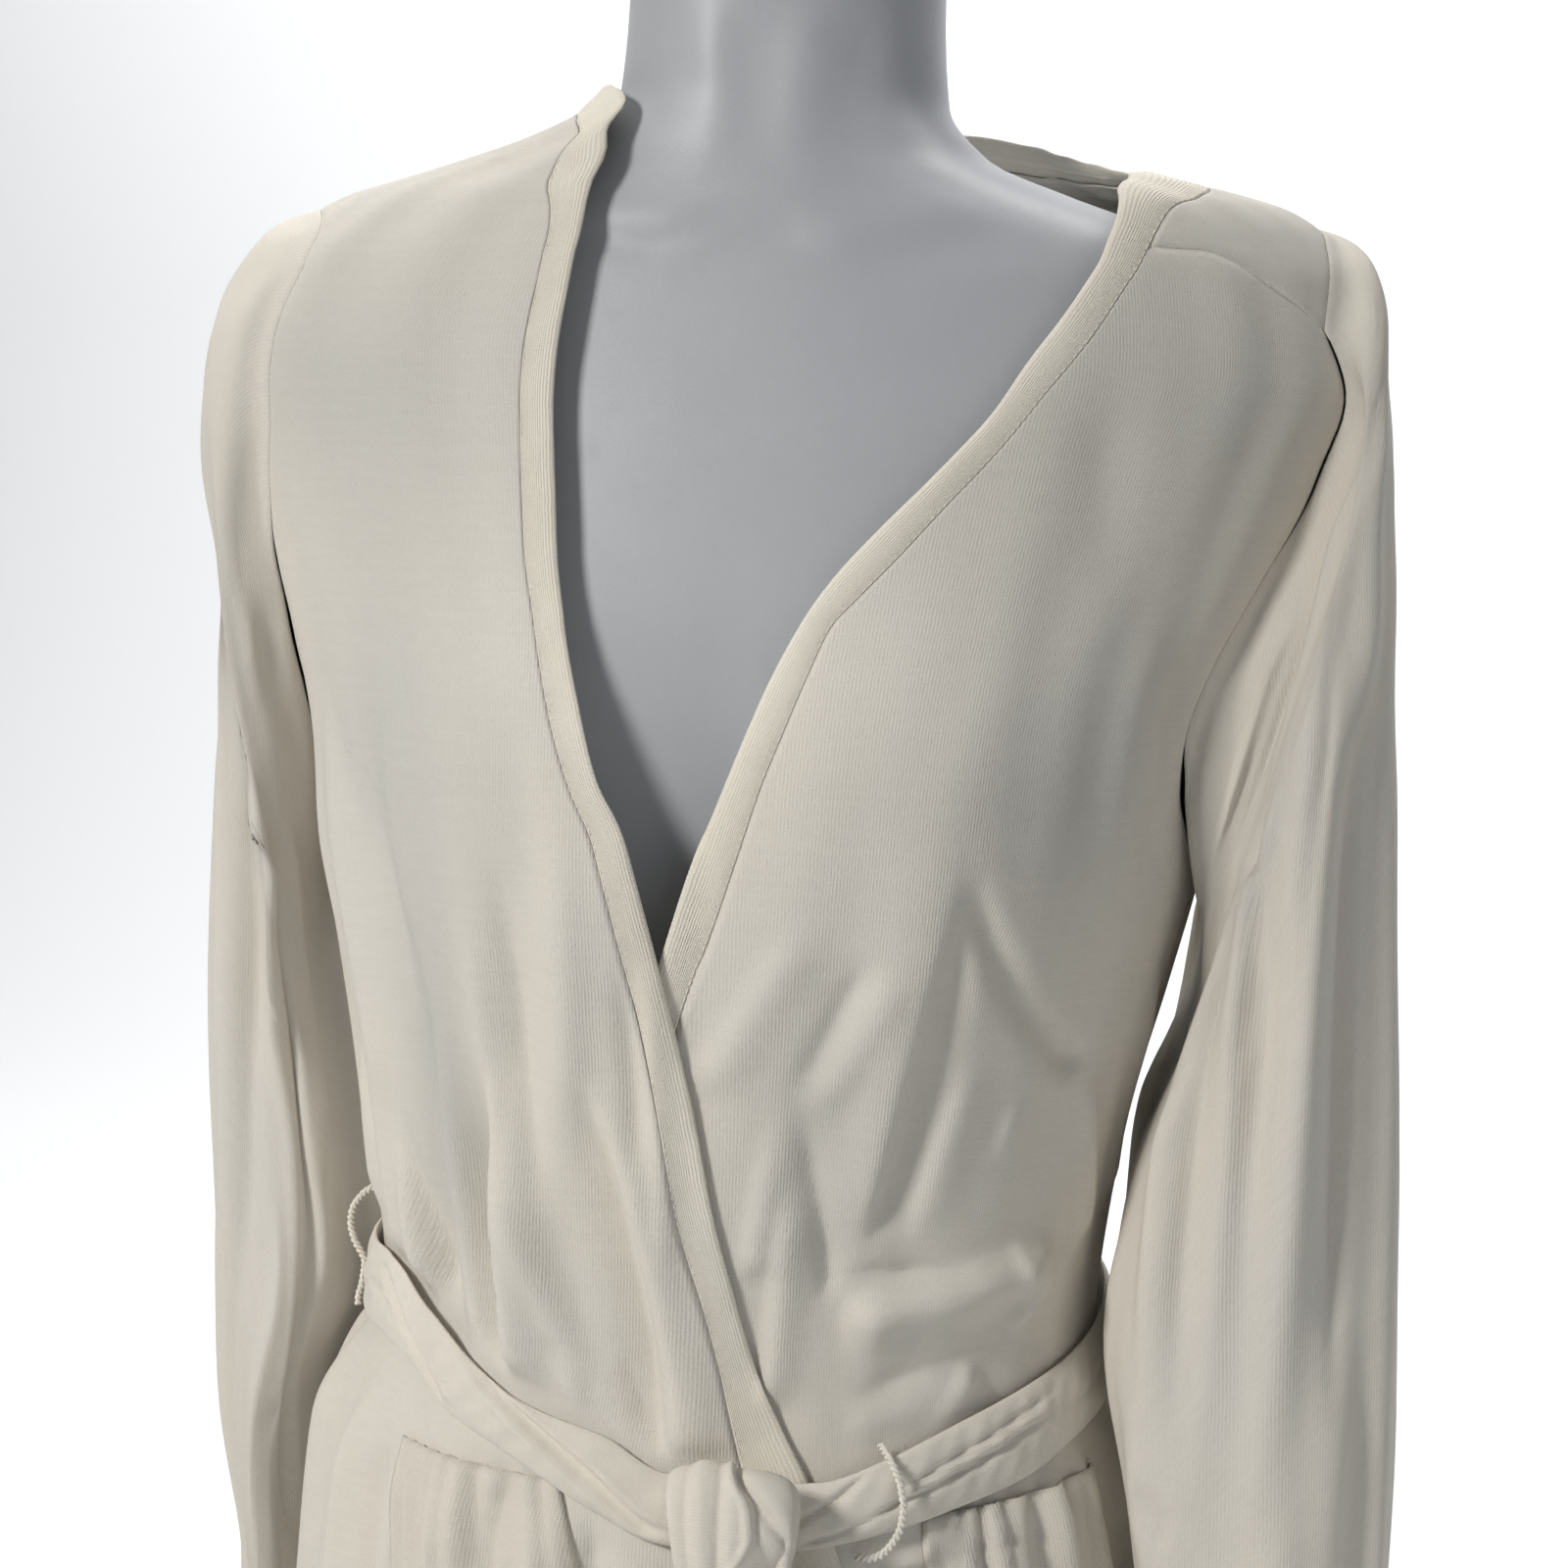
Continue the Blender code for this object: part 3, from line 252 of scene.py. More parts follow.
ARMHOLES = {RIGHT: (RIGHT_SHOULDER_ARMHOLE, RIGHT_FRONT_ARMHOLE, RIGHT_BACK_ARMHOLE),
            LEFT: (LEFT_SHOULDER_ARMHOLE, LEFT_FRONT_ARMHOLE, LEFT_BACK_ARMHOLE)}

# Creases of the body. Each runs on a chord bowed by some millimetres, falls away over its own width on
# the left and on the right, stands out by its depth, and rises and dies over shares of its length.
CREASES = table("turn height to_turn to_height bow left right depth start end", [
    # right front, above the belt
    (-25.6, 0.44, -22.6, 0.314, -2.6, 2, 13, 9, 0.4, 0.04),
    (-27.8, 0.44, -25.6, 0.314, -2.6, 10, 1.6, -6.6, 0.4, 0.04),
    (-12, 0.44, -0.5, 0.312, 4, 2.2, 9, 6.6, 0.4, 0.06),
    (-14.4, 0.44, -2.9, 0.312, 4, 8, 2, -5, 0.4, 0.06),
    (-26.4, 0.404, -12.6, 0.322, 1.6, 5, 6, 3.4, 0.35, 0.12),
    (-52, 0.415, -38.6, 0.33, -2.5, 10, 2.6, 7.4, 0.5, 0.08),
    (-49.6, 0.415, -36.2, 0.33, -2.5, 1.8, 8, -4.4, 0.5, 0.08),
    (-58, 0.56, -50, 0.392, -6, 10, 9, 4.2, 0.4, 0.25),
    (-44, 0.56, -41, 0.4, -4, 9, 9, -3, 0.4, 0.25),
    (-36, 0.46, -31.5, 0.322, -4, 5, 6, 3.6, 0.45, 0.1),
    (-14, 0.53, -15, 0.4, 0, 7, 6, 2.8, 0.4, 0.3),
    (-28, 0.49, -26.2, 0.4, 0, 4, 5, 2, 0.4, 0.3),
    (-38, 0.5, -41, 0.34, 0, 7, 7, -3.2, 0.4, 0.2),
    (-22.5, 0.51, -19.5, 0.385, 0, 5, 5, -2.8, 0.4, 0.25),
    (-5, 0.48, -2.5, 0.372, 0, 2, 3.4, 2, 0.3, 0.2),
    (-58, 0.44, -54, 0.352, -2, 4, 8, 3, 0.4, 0.15),
    (-7.8, 0.475, -6.2, 0.4, 1, 3, 3, -2.2, 0.3, 0.3),
    (-76, 0.56, -55, 0.38, -10, 6, 7, -2.8, 0.3, 0.3),
    (-59, 0.56, -40, 0.43, 5, 9, 9, -1.8, 0.4, 0.3),
    (-67, 0.54, -64, 0.365, 0, 6, 10, 3.8, 0.3, 0.12),
    (-80, 0.5, -74, 0.39, 0, 8, 9, 3.2, 0.3, 0.15),
    (-44, 0.352, -47.5, 0.338, 0.6, 2, 2.6, -1.6, 0.3, 0.2),
    (-19.5, 0.352, -10.5, 0.33, -0.6, 1.8, 2.4, -1.5, 0.3, 0.2),
    (-9, 0.345, -4.5, 0.324, 0, 1.8, 2.4, -1.4, 0.3, 0.2),
    (-21, 0.56, -17.5, 0.47, 2, 7, 6, -1.2, 0.35, 0.35),
    # left front, above the belt
    (9, 0.43, 6, 0.372, 0, 3, 7, 3.4, 0.5, 0.15),
    (11, 0.408, 9, 0.33, 0, 2.6, 7, 3.6, 0.3, 0.15),
    (10, 0.436, 17, 0.366, 1, 3, 4.5, -2.6, 0.4, 0.1),
    (27, 0.505, 20, 0.38, 0, 15, 4.5, 3.8, 0.4, 0.2),
    (29, 0.515, 22, 0.383, 5, 3.5, 6, -3, 0.4, 0.15),
    (11, 0.488, 0, 0.43, 0, 4, 7, 2.6, 0.3, 0.2),
    (19, 0.48, 10, 0.428, 0, 4, 5, -2, 0.3, 0.3),
    (22, 0.478, 13, 0.424, 0, 4.5, 6, 2.4, 0.3, 0.3),
    (29, 0.505, 55, 0.437, -8, 5, 4, -4.4, 0.25, 0.06),
    (43, 0.432, 41, 0.41, 0, 3, 4, 1.6, 0.4, 0.4),
    (35, 0.452, 29, 0.378, -1, 4, 9, 2.4, 0.4, 0.3),
    (18, 0.36, 60, 0.376, 3, 12, 5, 7.6, 0.14, 0.2),
    (18, 0.376, 42, 0.373, 1, 3, 3, -2.4, 0.25, 0.3),
    (20, 0.334, 46, 0.349, 2, 4, 4, -1.8, 0.25, 0.4),
    (19, 0.326, 35, 0.33, 1, 5, 5.5, 1.6, 0.25, 0.4),
    (42, 0.345, 32, 0.318, 1, 3.5, 4.5, 3.2, 0.25, 0.15),
    (53, 0.44, 67, 0.372, 5, 4, 6, 3.6, 0.3, 0.2),
    (63, 0.38, 46, 0.35, 0, 4, 5, 3, 0.3, 0.3),
    (47, 0.385, 52, 0.352, 1, 2.6, 3.4, 2.2, 0.3, 0.3),
    (29, 0.655, 41, 0.57, 4, 8, 9, -1.8, 0.35, 0.4),
    (48, 0.59, 50, 0.48, 0, 8, 9, 2.2, 0.35, 0.4),
    (56, 0.575, 60, 0.48, 0, 6, 7, -2.4, 0.3, 0.4),
    (27, 0.565, 24, 0.465, 0, 9, 9, 1.5, 0.4, 0.4),
    (72, 0.47, 78, 0.38, 0, 6, 8, 3.4, 0.3, 0.2),
    # below the belt, all round
    (-29, 0.314, -28, 0.06, 0, 7.5, 8, 6.4, 0.14, 0.3),
    (-15, 0.308, -15, 0.06, 0, 7, 7, 5.4, 0.14, 0.3),
    (-21.6, 0.312, -21.6, 0.1, 0, 2.4, 3, -3.4, 0.08, 0.5),
    (-9, 0.304, -9.5, 0.1, 0, 3.4, 4, -3, 0.1, 0.5),
    (-47, 0.308, -45, 0.1, 0, 6, 6, -4.2, 0.1, 0.5),
    (-41, 0.306, -40, 0.1, 0, 4, 5, 3, 0.12, 0.5),
    (-56, 0.32, -58, 0.06, 0, 7, 7, 4.4, 0.14, 0.3),
    (28, 0.3, 29, 0.06, 0, 4, 8, 4.6, 0.12, 0.3),
    (36, 0.306, 37, 0.13, 0, 4, 5, 3.2, 0.12, 0.6),
    (42, 0.31, 42, 0.06, 0, 4, 9, 5.6, 0.12, 0.3),
    (55, 0.316, 55, 0.06, 0, 5, 9, 6.4, 0.12, 0.3),
    (63, 0.316, 66, 0.14, 0, 3, 6, 3.4, 0.12, 0.6),
    (80, 0.322, 84, 0.06, 0, 9, 12, 6, 0.16, 0.3),
    (-74, 0.34, -75, 0.06, 0, 9, 13, 6, 0.16, 0.3),
    (-84, 0.352, -86, 0.09, 0, 5, 8, 4, 0.16, 0.5),
    (106, 0.328, 104, 0.06, 0, 9, 12, 6.6, 0.16, 0.3),
    (116, 0.332, 119, 0.11, 0, 5, 7, 3.4, 0.14, 0.6),
    (127, 0.338, 128, 0.06, 0, 13, 9, 7.8, 0.16, 0.3),
    (149, 0.342, 146, 0.06, 0, 9, 14, 6.6, 0.16, 0.3),
    (160, 0.345, 162, 0.12, 0, 5, 6, 3.4, 0.14, 0.6),
    (172, 0.346, 173, 0.06, 0, 14, 10, 8.4, 0.16, 0.3),
    (195, 0.346, 198, 0.06, 0, 11, 14, 6.6, 0.16, 0.3),
    (206, 0.35, 207, 0.11, 0, 5, 6, 3.2, 0.14, 0.6),
    (217, 0.35, 215, 0.06, 0, 14, 10, 8, 0.16, 0.3),
    (238, 0.352, 240, 0.06, 0, 10, 13, 6.6, 0.16, 0.3),
    (258, 0.352, 257, 0.06, 0, 13, 9, 6.2, 0.16, 0.3),
    # back, above the belt
    (118, 0.56, 140, 0.385, 4, 9, 13, 5.2, 0.3, 0.12),
    (132, 0.5, 150, 0.388, 2, 5, 8, 2.6, 0.35, 0.15),
    (146, 0.53, 160, 0.388, 0, 8, 12, 4.4, 0.3, 0.12),
    (242, 0.56, 221, 0.4, -4, 13, 9, 5.2, 0.3, 0.12),
    (229, 0.5, 210, 0.4, -2, 8, 5, 2.6, 0.35, 0.15),
    (213, 0.52, 202, 0.4, 0, 12, 8, 4.4, 0.3, 0.12),
    (180, 0.48, 181, 0.395, 0, 13, 11, 4, 0.3, 0.15),
    (100, 0.47, 104, 0.375, 0, 6, 8, 3.6, 0.3, 0.15),
    (262, 0.48, 258, 0.405, 0, 8, 6, 3.6, 0.3, 0.15),
    (130, 0.69, 146, 0.6, 4, 9, 11, 1.6, 0.4, 0.4),
    (228, 0.69, 214, 0.6, -4, 11, 9, 1.6, 0.4, 0.4),
])
CREASE_RADIUS = 0.125
# Patches of painted shade on the jersey, where the cloth lies tight on the form in hollows and fold valleys:
# on one side only (1) or on both (0), turn, half-width, height, half-height, share.
CLING_SHADE = table("one_side turn width height rise share", [
    (0, 38, 17, 0.545, 0.055, 0.85), (0, 40, 26, 0.645, 0.05, 0.75),
    (1, -38, 8, 0.43, 0.06, 0.9), (1, 12, 7, 0.42, 0.05, 0.54),
])
BELT_HOLD = 0.0235
HOLD_BLEND = 0.0115
# Slow unevenness of worn jersey: whole waves round the body, waves a metre upwards, phase, millimetres.
CRUMPLE = table("around upwards phase depth", [
    (11, 18, 0.4, 0.34), (-17, 31, 2.1, 0.28), (23, -12, 4, 0.26), (-7, 47, 1.3, 0.22),
    (31, 22, 5.2, 0.18), (5, 61, 3.3, 0.16), (-37, -9, 0.9, 0.14),
])

# The belt's two edges round the waist, from behind the knot and back to it.
BELT = table("turn top bottom", [
    (8, 0.31, 0.289), (16, 0.311, 0.292), (24.7, 0.317, 0.296), (35.7, 0.325, 0.301),
    (50.7, 0.333, 0.307), (63, 0.338, 0.313), (90, 0.348, 0.32), (130, 0.357, 0.328),
    (180, 0.36, 0.331), (230, 0.359, 0.33), (270, 0.357, 0.328), (290, 0.358, 0.329),
    (303, 0.36, 0.331), (310.5, 0.358, 0.33), (316.8, 0.351, 0.3275), (321.8, 0.344, 0.323),
    (326.5, 0.338, 0.318), (335, 0.329, 0.3125), (342, 0.3245, 0.3065), (350.8, 0.32, 0.2975),
    (358.5, 0.311, 0.29), (368, 0.31, 0.288),
])
# Folds along the belt: turn and share of its width, as the creases of the body; widths in millimetres.
BELT_FOLDS = table("turn height to_turn to_height bow left right depth start end", [
    (-29, 1.08, -2, 0.12, 0.6, 1.9, 2.4, -4, 0.1, 0.06),
    (-26, 1.02, 0, 0.26, 0.6, 1.3, 2.4, 1.4, 0.2, 0.1),
    (-34, 0.98, -6, 0.02, 0.6, 2.6, 1.4, 1.2, 0.2, 0.1),
    (-60, 0.9, -33, 0.02, -0.8, 1.9, 2.2, -3, 0.2, 0.15),
    (-55, 0.98, -30, 0.16, -0.8, 1.5, 2, 1.1, 0.2, 0.2),
    (-74, 0.72, -48, 0.34, -0.6, 1.8, 1.8, -1.2, 0.25, 0.25),
    (-88, 0.36, -60, 0.66, 0, 2.4, 2.4, 1.1, 0.25, 0.25),
    (11, 0.34, 23, 0.98, 0.3, 1.1, 1.6, -1.9, 0.15, 0.2),
    (12, 0.1, 24, 0.3, 0, 1.4, 1.4, -1.3, 0.2, 0.2),
    (21, 0.3, 58, 0.58, 0.5, 1.3, 1.5, -2.2, 0.12, 0.3),
    (24, 0.52, 62, 0.84, 0.4, 1.2, 1.5, -1.5, 0.15, 0.35),
    (26, 0.42, 60, 0.7, 0.4, 1.8, 1.8, 1.1, 0.2, 0.3),
    (60, 0.4, 88, 0.52, 0, 2, 2, -1.2, 0.25, 0.25),
    (86, 0.66, 118, 0.4, 0, 2, 2, -1.2, 0.25, 0.25),
    (112, 0.5, 150, 0.7, 0, 1.8, 2.2, -1.4, 0.25, 0.25),
    (146, 0.3, 188, 0.52, 0, 2, 2, -1.3, 0.25, 0.25),
    (182, 0.68, 222, 0.5, 0, 1.8, 2.4, -1.4, 0.25, 0.25),
    (216, 0.36, 258, 0.62, 0, 2, 2, -1.2, 0.25, 0.25),
])
BELT_WIDTH = 0.027
BELT_RADIUS = 0.115
# The first and last turn of each of the belt's stretches.
BELT_STRETCHES = {"belt_left": (10.5, 90.0), "belt_back": (90.0, 270.0), "belt_right": (270.0, 368.5)}
BELT_STEP = 0.6
# A strap's rounded wall and the crown on it, and what a groove leaves standing.
STRAP_WALL = 2.3 * MM
STRAP_CROWN = 1.5 * MM
STRAP_LEAST = 0.8 * MM
# How far the belt stands off the cloth's inner face, and how much more it does over the lap and the pocket.
BELT_LIFT = 3.2 * MM
BELT_EXTRA_LIFT = 2.8 * MM
KNOT_CENTRE = (0.0185, 0.300)
KNOT_TURN = 7.0
KNOT_OUT = 20 * MM
KNOT_HALF_WIDTH = 20.5 * MM
KNOT_HALF_HEIGHT = 21.2 * MM
KNOT_HALF_DEPTH = 10 * MM
# The edge of the turn of the belt over the knot, at each level from foot to top, as shares of the halves.
KNOT_EDGE = table("level share", [
    (-1, -0.35), (-0.7, -0.25), (-0.48, -0.12), (-0.08, 0.25), (0.23, 0.38), (0.47, 0.35), (0.7, 0.28),
    (0.87, 0.1), (1, 0),
])
# Folds of that turn: share across, lean, width and millimetres.
KNOT_FOLDS = table("share lean width depth", [
    (-0.7, 0.06, 0.07, -0.7), (-0.46, 0.03, 0.12, 0.7), (-0.2, 0.05, 0.08, -0.9), (0.02, 0.06, 0.1, 0.5),
    (-0.88, 0.04, 0.06, 0.5),
])
# The loose ends: the turn at the top and at the foot, the foot's height and how far out it hangs.
TAILS = {"right": (2.0, -2.0, 0.050, 7.0 * MM), "left": (13.0, 17.0, 0.044, 8.6 * MM)}
TAIL_HIGH = 0.284
TAIL_HALF_WIDTH = 0.0165
TAIL_RADIUS = 0.15
TAIL_HEM = 12 * MM
TAIL_GATHER = 8 * MM
TAIL_WAVE = 1.6 * MM
# The two strands of a thread loop: the length of a turn, and, as shares of its width, how far a strand
# lies from the middle and how thick it is.
THREAD_TWIST = 4.0 * MM
STRAND_APART = 0.52
STRAND_RADIUS = 0.58
# The pockets' side edges in degrees, and the heights of their foot and top.
POCKETS = {"pocket_right": ((-35.5, -5.0), (0.165, 0.305)), "pocket_left": ((28.0, 66.0), (0.160, 0.298))}
# The row of the panel's grid on which a pocket's sides are found.
POCKET_ROW = 36
POCKET_HEM = 9.5 * MM
POCKET_LIFT = 1.0 * MM
POCKET_STEP = 0.7 * MM
POCKET_PUFF = 4.5 * MM
POCKET_GATHERS = 8.5
GATHER_DEPTH = 1.5 * MM

# The thread loops' routes, from above the belt to below it; out is from the cloth's inner face.
BELT_LOOP_LEFT = table("turn height out", [
    (24.6, 0.3215, 0.0044), (24.9, 0.3195, 0.0088), (25.5, 0.316, 0.0122), (26.1, 0.311, 0.0134),
    (26.3, 0.305, 0.0134), (25.8, 0.299, 0.0128), (24.6, 0.294, 0.0116), (23, 0.2903, 0.0096),
    (21.4, 0.2888, 0.007), (20.2, 0.289, 0.0048),
])
BELT_LOOP_RIGHT = table("turn height out", [
    (-84, 0.369, 0.0036), (-84, 0.368, 0.007), (-84.2, 0.365, 0.011), (-84.5, 0.36, 0.0142),
    (-84.6, 0.3545, 0.015), (-84.4, 0.349, 0.0138), (-84.2, 0.344, 0.0114), (-84, 0.339, 0.0094),
    (-84, 0.333, 0.0086), (-84, 0.327, 0.0072), (-84, 0.3225, 0.004),
])

# Guides of each sleeve at its rings: its outer and inner edge, half its depth, and its middle's place in y.
RIGHT_SLEEVE = table("outer outer_height inner inner_height depth middle", [
    (0.157, 0.7055, 0.154, 0.497, 0.05, 0.004),
    (0.174, 0.699, 0.155, 0.486, 0.05, 0.004),
    (0.187, 0.686, 0.1555, 0.47, 0.049, 0.005),
    (0.1945, 0.666, 0.155, 0.452, 0.048, 0.006),
    (0.1925, 0.645, 0.153, 0.432, 0.046, 0.007),
    (0.1875, 0.6, 0.148, 0.402, 0.046, 0.008),
    (0.1895, 0.54, 0.141, 0.362, 0.047, 0.012),
    (0.1935, 0.46, 0.138, 0.315, 0.048, 0.019),
    (0.1955, 0.38, 0.135, 0.265, 0.049, 0.028),
    (0.1955, 0.31, 0.133, 0.215, 0.049, 0.037),
    (0.1885, 0.23, 0.132, 0.165, 0.049, 0.046),
    (0.194, 0.15, 0.132, 0.112, 0.048, 0.053),
    (0.1975, 0.08, 0.132, 0.066, 0.047, 0.058),
    (0.199, 0.04, 0.132, 0.04, 0.046, 0.06),
])
LEFT_SLEEVE = table("outer outer_height inner inner_height depth middle", [
    (0.168, 0.7065, 0.153, 0.493, 0.052, 0),
    (0.182, 0.701, 0.1535, 0.479, 0.053, -0.002),
    (0.192, 0.69, 0.152, 0.461, 0.054, -0.004),
    (0.198, 0.672, 0.148, 0.442, 0.054, -0.006),
    (0.2015, 0.648, 0.14, 0.424, 0.054, -0.01),
    (0.204, 0.6, 0.13, 0.4, 0.054, -0.014),
    (0.207, 0.54, 0.121, 0.362, 0.054, -0.019),
    (0.211, 0.46, 0.117, 0.315, 0.053, -0.025),
    (0.216, 0.38, 0.117, 0.265, 0.051, -0.032),
    (0.218, 0.31, 0.119, 0.215, 0.049, -0.038),
    (0.216, 0.23, 0.122, 0.165, 0.047, -0.042),
    (0.211, 0.15, 0.124, 0.112, 0.045, -0.044),
    (0.206, 0.08, 0.125, 0.066, 0.043, -0.044),
    (0.203, 0.04, 0.125, 0.04, 0.042, -0.044),
])
# Slow swellings of both sleeves: degrees round them, how far they drift, their width and their depth.
SLEEVE_SWELL = table("around drift width depth", [
    (18, 6, 13, 0.0045), (52, -8, 12, 0.0055), (84, 10, 11, 0.005), (118, -6, 12, 0.005),
    (205, 8, 13, 0.005), (245, -8, 14, 0.0055), (285, 6, 13, 0.005), (325, -6, 13, 0.0045),
])
SWELL_SHARE = 0.55
SWELL_MEAN = 3.5 * MM
# Shares of a sleeve's length over which its plain rings, and then its fine ones, leave the armhole's shape.
ARMHOLE_BLEND = 0.30
FINE_ARMHOLE_BLEND = 0.07
# The gap between the body and a sleeve's inner side at each height.
SLEEVE_CLEAR = table("height gap", [(0.04, 0.0125), (0.300, 0.0120), (0.400, 0.0075), (0.500, 0.0050)])
# Slow unevenness of the sleeves: whole waves round, waves down the length, phase, millimetres.
SLEEVE_CRUMPLE = table("around down phase depth", [
    (5, 19, 0.3, 0.45), (-8, 30, 2.2, 0.35), (13, -14, 4.1, 0.3), (-3, 44, 1.2, 0.3),
    (17, 26, 5, 0.2), (2, 63, 3.1, 0.2),
])
SLEEVE_RADIUS = 0.052
SLEEVE_LENGTH = 0.62
SLEEVE_DEPTH = 1.15
SLEEVE_DIP = 0.45 * MM
LOW_LIFT = 0.9 * MM
# The side that faces the body is smoother: where it is, in degrees round the sleeve, and how wide.
SLEEVE_INSIDE = 185.0
SLEEVE_INSIDE_WIDTH = 27.0
# How far from the armhole a sleeve still goes on along the panel's slope.
LEVEL_REACH = 0.011
# Folds of each sleeve: degrees round it from its outer edge over the front, and share of its length. Those
# at the back are the same on both.
SLEEVE_BACK_FOLDS = (
    (212, 0.22, 205, 0.8, 4, 8, 10, 3.8, 0.25, 0.3),
    (236, 0.12, 250, 0.52, 0, 6, 9, 3.6, 0.25, 0.3),
    (246, 0.46, 240, 0.99, 0, 9, 7, 4, 0.25, 0.1),
    (282, 0.18, 290, 0.66, 5, 8, 9, 4, 0.25, 0.3),
    (300, 0.6, 296, 0.99, 0, 7, 8, 3.4, 0.25, 0.1),
    (328, 0.26, 334, 0.78, 0, 9, 8, 3.2, 0.25, 0.3),
    (262, 0.4, 268, 0.74, 0, 4, 5, -3, 0.25, 0.3),
)
LEFT_SLEEVE_FOLDS = table("around share to_around to_share bow left right depth start end", [
    (122, 0.36, 119, 0.58, 0, 3.5, 9, 3.6, 0.3, 0.4),
    (104, 0.27, 101, 0.64, 8, 4.5, 8, 4, 0.25, 0.3),
    (82, 0.25, 86, 0.68, 6, 4, 9, 4.2, 0.25, 0.3),
    (62, 0.3, 78, 0.64, 0, 5, 8, 3.8, 0.25, 0.3),
    (54, 0.38, 58, 0.66, 0, 5, 6, -4, 0.3, 0.3),
    (112, 0.3, 110, 0.62, 4, 4, 4, -2.6, 0.3, 0.4),
    (93, 0.3, 93, 0.6, 7, 4, 3.5, -2.6, 0.3, 0.4),
    (100, 0.06, 138, 0.15, 5, 4, 6, 2.8, 0.3, 0.4),
    (88, 0.08, 122, 0.2, 5, 3, 4, -2.2, 0.3, 0.4),
    (75, 0.07, 104, 0.24, 4, 4.5, 7, 2.6, 0.3, 0.4),
    (108, 0.24, 90, 0.47, 6, 2.6, 3.6, -3.2, 0.2, 0.2),
    (100, 0.28, 85, 0.45, 5, 2.8, 4, 2.4, 0.25, 0.25),
    (128, 0.59, 108, 0.63, 2, 2, 2.6, -2.2, 0.25, 0.25),
    (40, 0.16, 52, 0.42, 0, 8, 8, 3, 0.3, 0.3),
    (28, 0.3, 34, 0.86, 0, 7, 9, 3.6, 0.2, 0.3),
    (112, 0.62, 112, 0.99, 0, 6, 10, 3.8, 0.25, 0.1),
    (78, 0.64, 84, 0.99, 0, 8, 6, 3.4, 0.25, 0.1),
    (150, 0.4, 152, 0.9, 0, 6, 9, 3, 0.25, 0.3),
    *SLEEVE_BACK_FOLDS,
    (356, 0.3, 358, 0.99, 0, 9, 9, 2.6, 0.25, 0.1),
])
RIGHT_SLEEVE_FOLDS = table("around share to_around to_share bow left right depth start end", [
    (128, 0.2, 112, 0.5, 0, 6, 7, -4.4, 0.3, 0.3),
    (112, 0.4, 146, 0.72, -4, 6, 7, -4.6, 0.35, 0.3),
    (112, 0.22, 97, 0.52, 0, 6, 8, 4.4, 0.3, 0.25),
    (97, 0.5, 118, 0.99, -3, 7, 6, 4.6, 0.25, 0.1),
    (84, 0.3, 76, 0.66, 2, 6, 6, -3, 0.3, 0.3),
    (150, 0.14, 138, 0.5, 0, 6, 6, 3.8, 0.3, 0.3),
    (118, 0.4, 104, 0.43, 0, 2.2, 3, -1.1, 0.4, 0.4),
    (106, 0.43, 92, 0.455, 0, 2.2, 3, -1, 0.4, 0.4),
    (96, 0.575, 84, 0.6, 0, 2.2, 3, -1, 0.4, 0.4),
    (120, 0.62, 104, 0.65, 0, 2.2, 3, -1, 0.4, 0.4),
    (62, 0.22, 56, 0.8, 2, 8, 9, 3.8, 0.3, 0.3),
    (70, 0.6, 66, 0.99, 0, 6, 7, -3.2, 0.25, 0.1),
    (140, 0.66, 134, 0.99, 0, 5, 6, 4, 0.25, 0.1),
    (30, 0.34, 26, 0.9, 0, 9, 9, 3.2, 0.25, 0.2),
    *SLEEVE_BACK_FOLDS,
])

# Hollows and ridges of the form's neck and chest.
FORM_RELIEF = table("turn height to_turn to_height bow left right depth start end", [
    (-3, 0.688, -1, 0.684, 0, 8.4, 8.4, -1.32, 0.3, 0.3),
    (-22, 0.6935, -5, 0.688, -1, 4.2, 4.76, -1.08, 0.3, 0.2),
    (-34, 0.704, -4, 0.696, 0, 5.6, 5.6, 0.84, 0.3, 0.15),
    (3, 0.693, 34, 0.708, -1, 5.6, 7, 1.02, 0.12, 0.3),
    (7, 0.686, 34, 0.698, -1, 5.6, 5.6, -0.78, 0.3, 0.3),
    (1, 0.7, 1, 0.688, 0, 5.6, 5.6, -0.84, 0.4, 0.4),
    (16, 0.775, 3, 0.698, 0, 9.8, 9.8, 1.14, 0.35, 0.1),
    (-22, 0.775, -3, 0.7, 0, 9.8, 9.8, 0.78, 0.35, 0.1),
    (-4, 0.775, 0, 0.705, 0, 12.6, 12.6, -0.72, 0.35, 0.2),
    (38, 0.775, 20, 0.712, 0, 11.2, 11.2, -0.72, 0.35, 0.2),
])
FORM_RADIUS = 0.075

# The floor's reach each way, where it starts to bend up, the radius of the bend and the backdrop's top.
FLOOR_REACH = 4.0
FLOOR_END = 1.6
FLOOR_BEND = 0.9
BACKDROP_TOP = 3.6

# The camera: where it looks, how far off it stands, and its turn, elevation and roll in degrees.
CAMERA = {"target": (0.0075, 0.0, 0.515), "distance": 0.85, "azimuth": 8.0, "elevation": 6.0, "roll": 2.0}
CAMERA_LENS = 57.1
# Name, place, aim, size, spread in degrees, watts and colour of each light.
LIGHTS = (
    ("key", (-0.92, -1.12, 1.22), (0.0, 0.0, 0.28), 0.30, 78.0, 3.4, (1.0, 0.985, 0.96)),
    ("fill", (1.1, -1.8, 0.5), (0.0, 0.0, 0.40), 1.4, 180.0, 5.0, (0.96, 0.975, 1.0)),
    ("top", (0.1, 0.15, 2.2), (0.0, 0.0, 0.5), 1.0, 180.0, 2.4, (1.0, 0.99, 0.97)),
    ("backdrop", (0.0, 0.7, 2.4), (0.0, 2.6, 0.8), 2.0, 180.0, 76.0, (1.0, 1.0, 1.0)),
)
WORLD_STRENGTH = 0.13
WORLD_COLOUR = (0.93, 0.96, 1.0, 1.0)

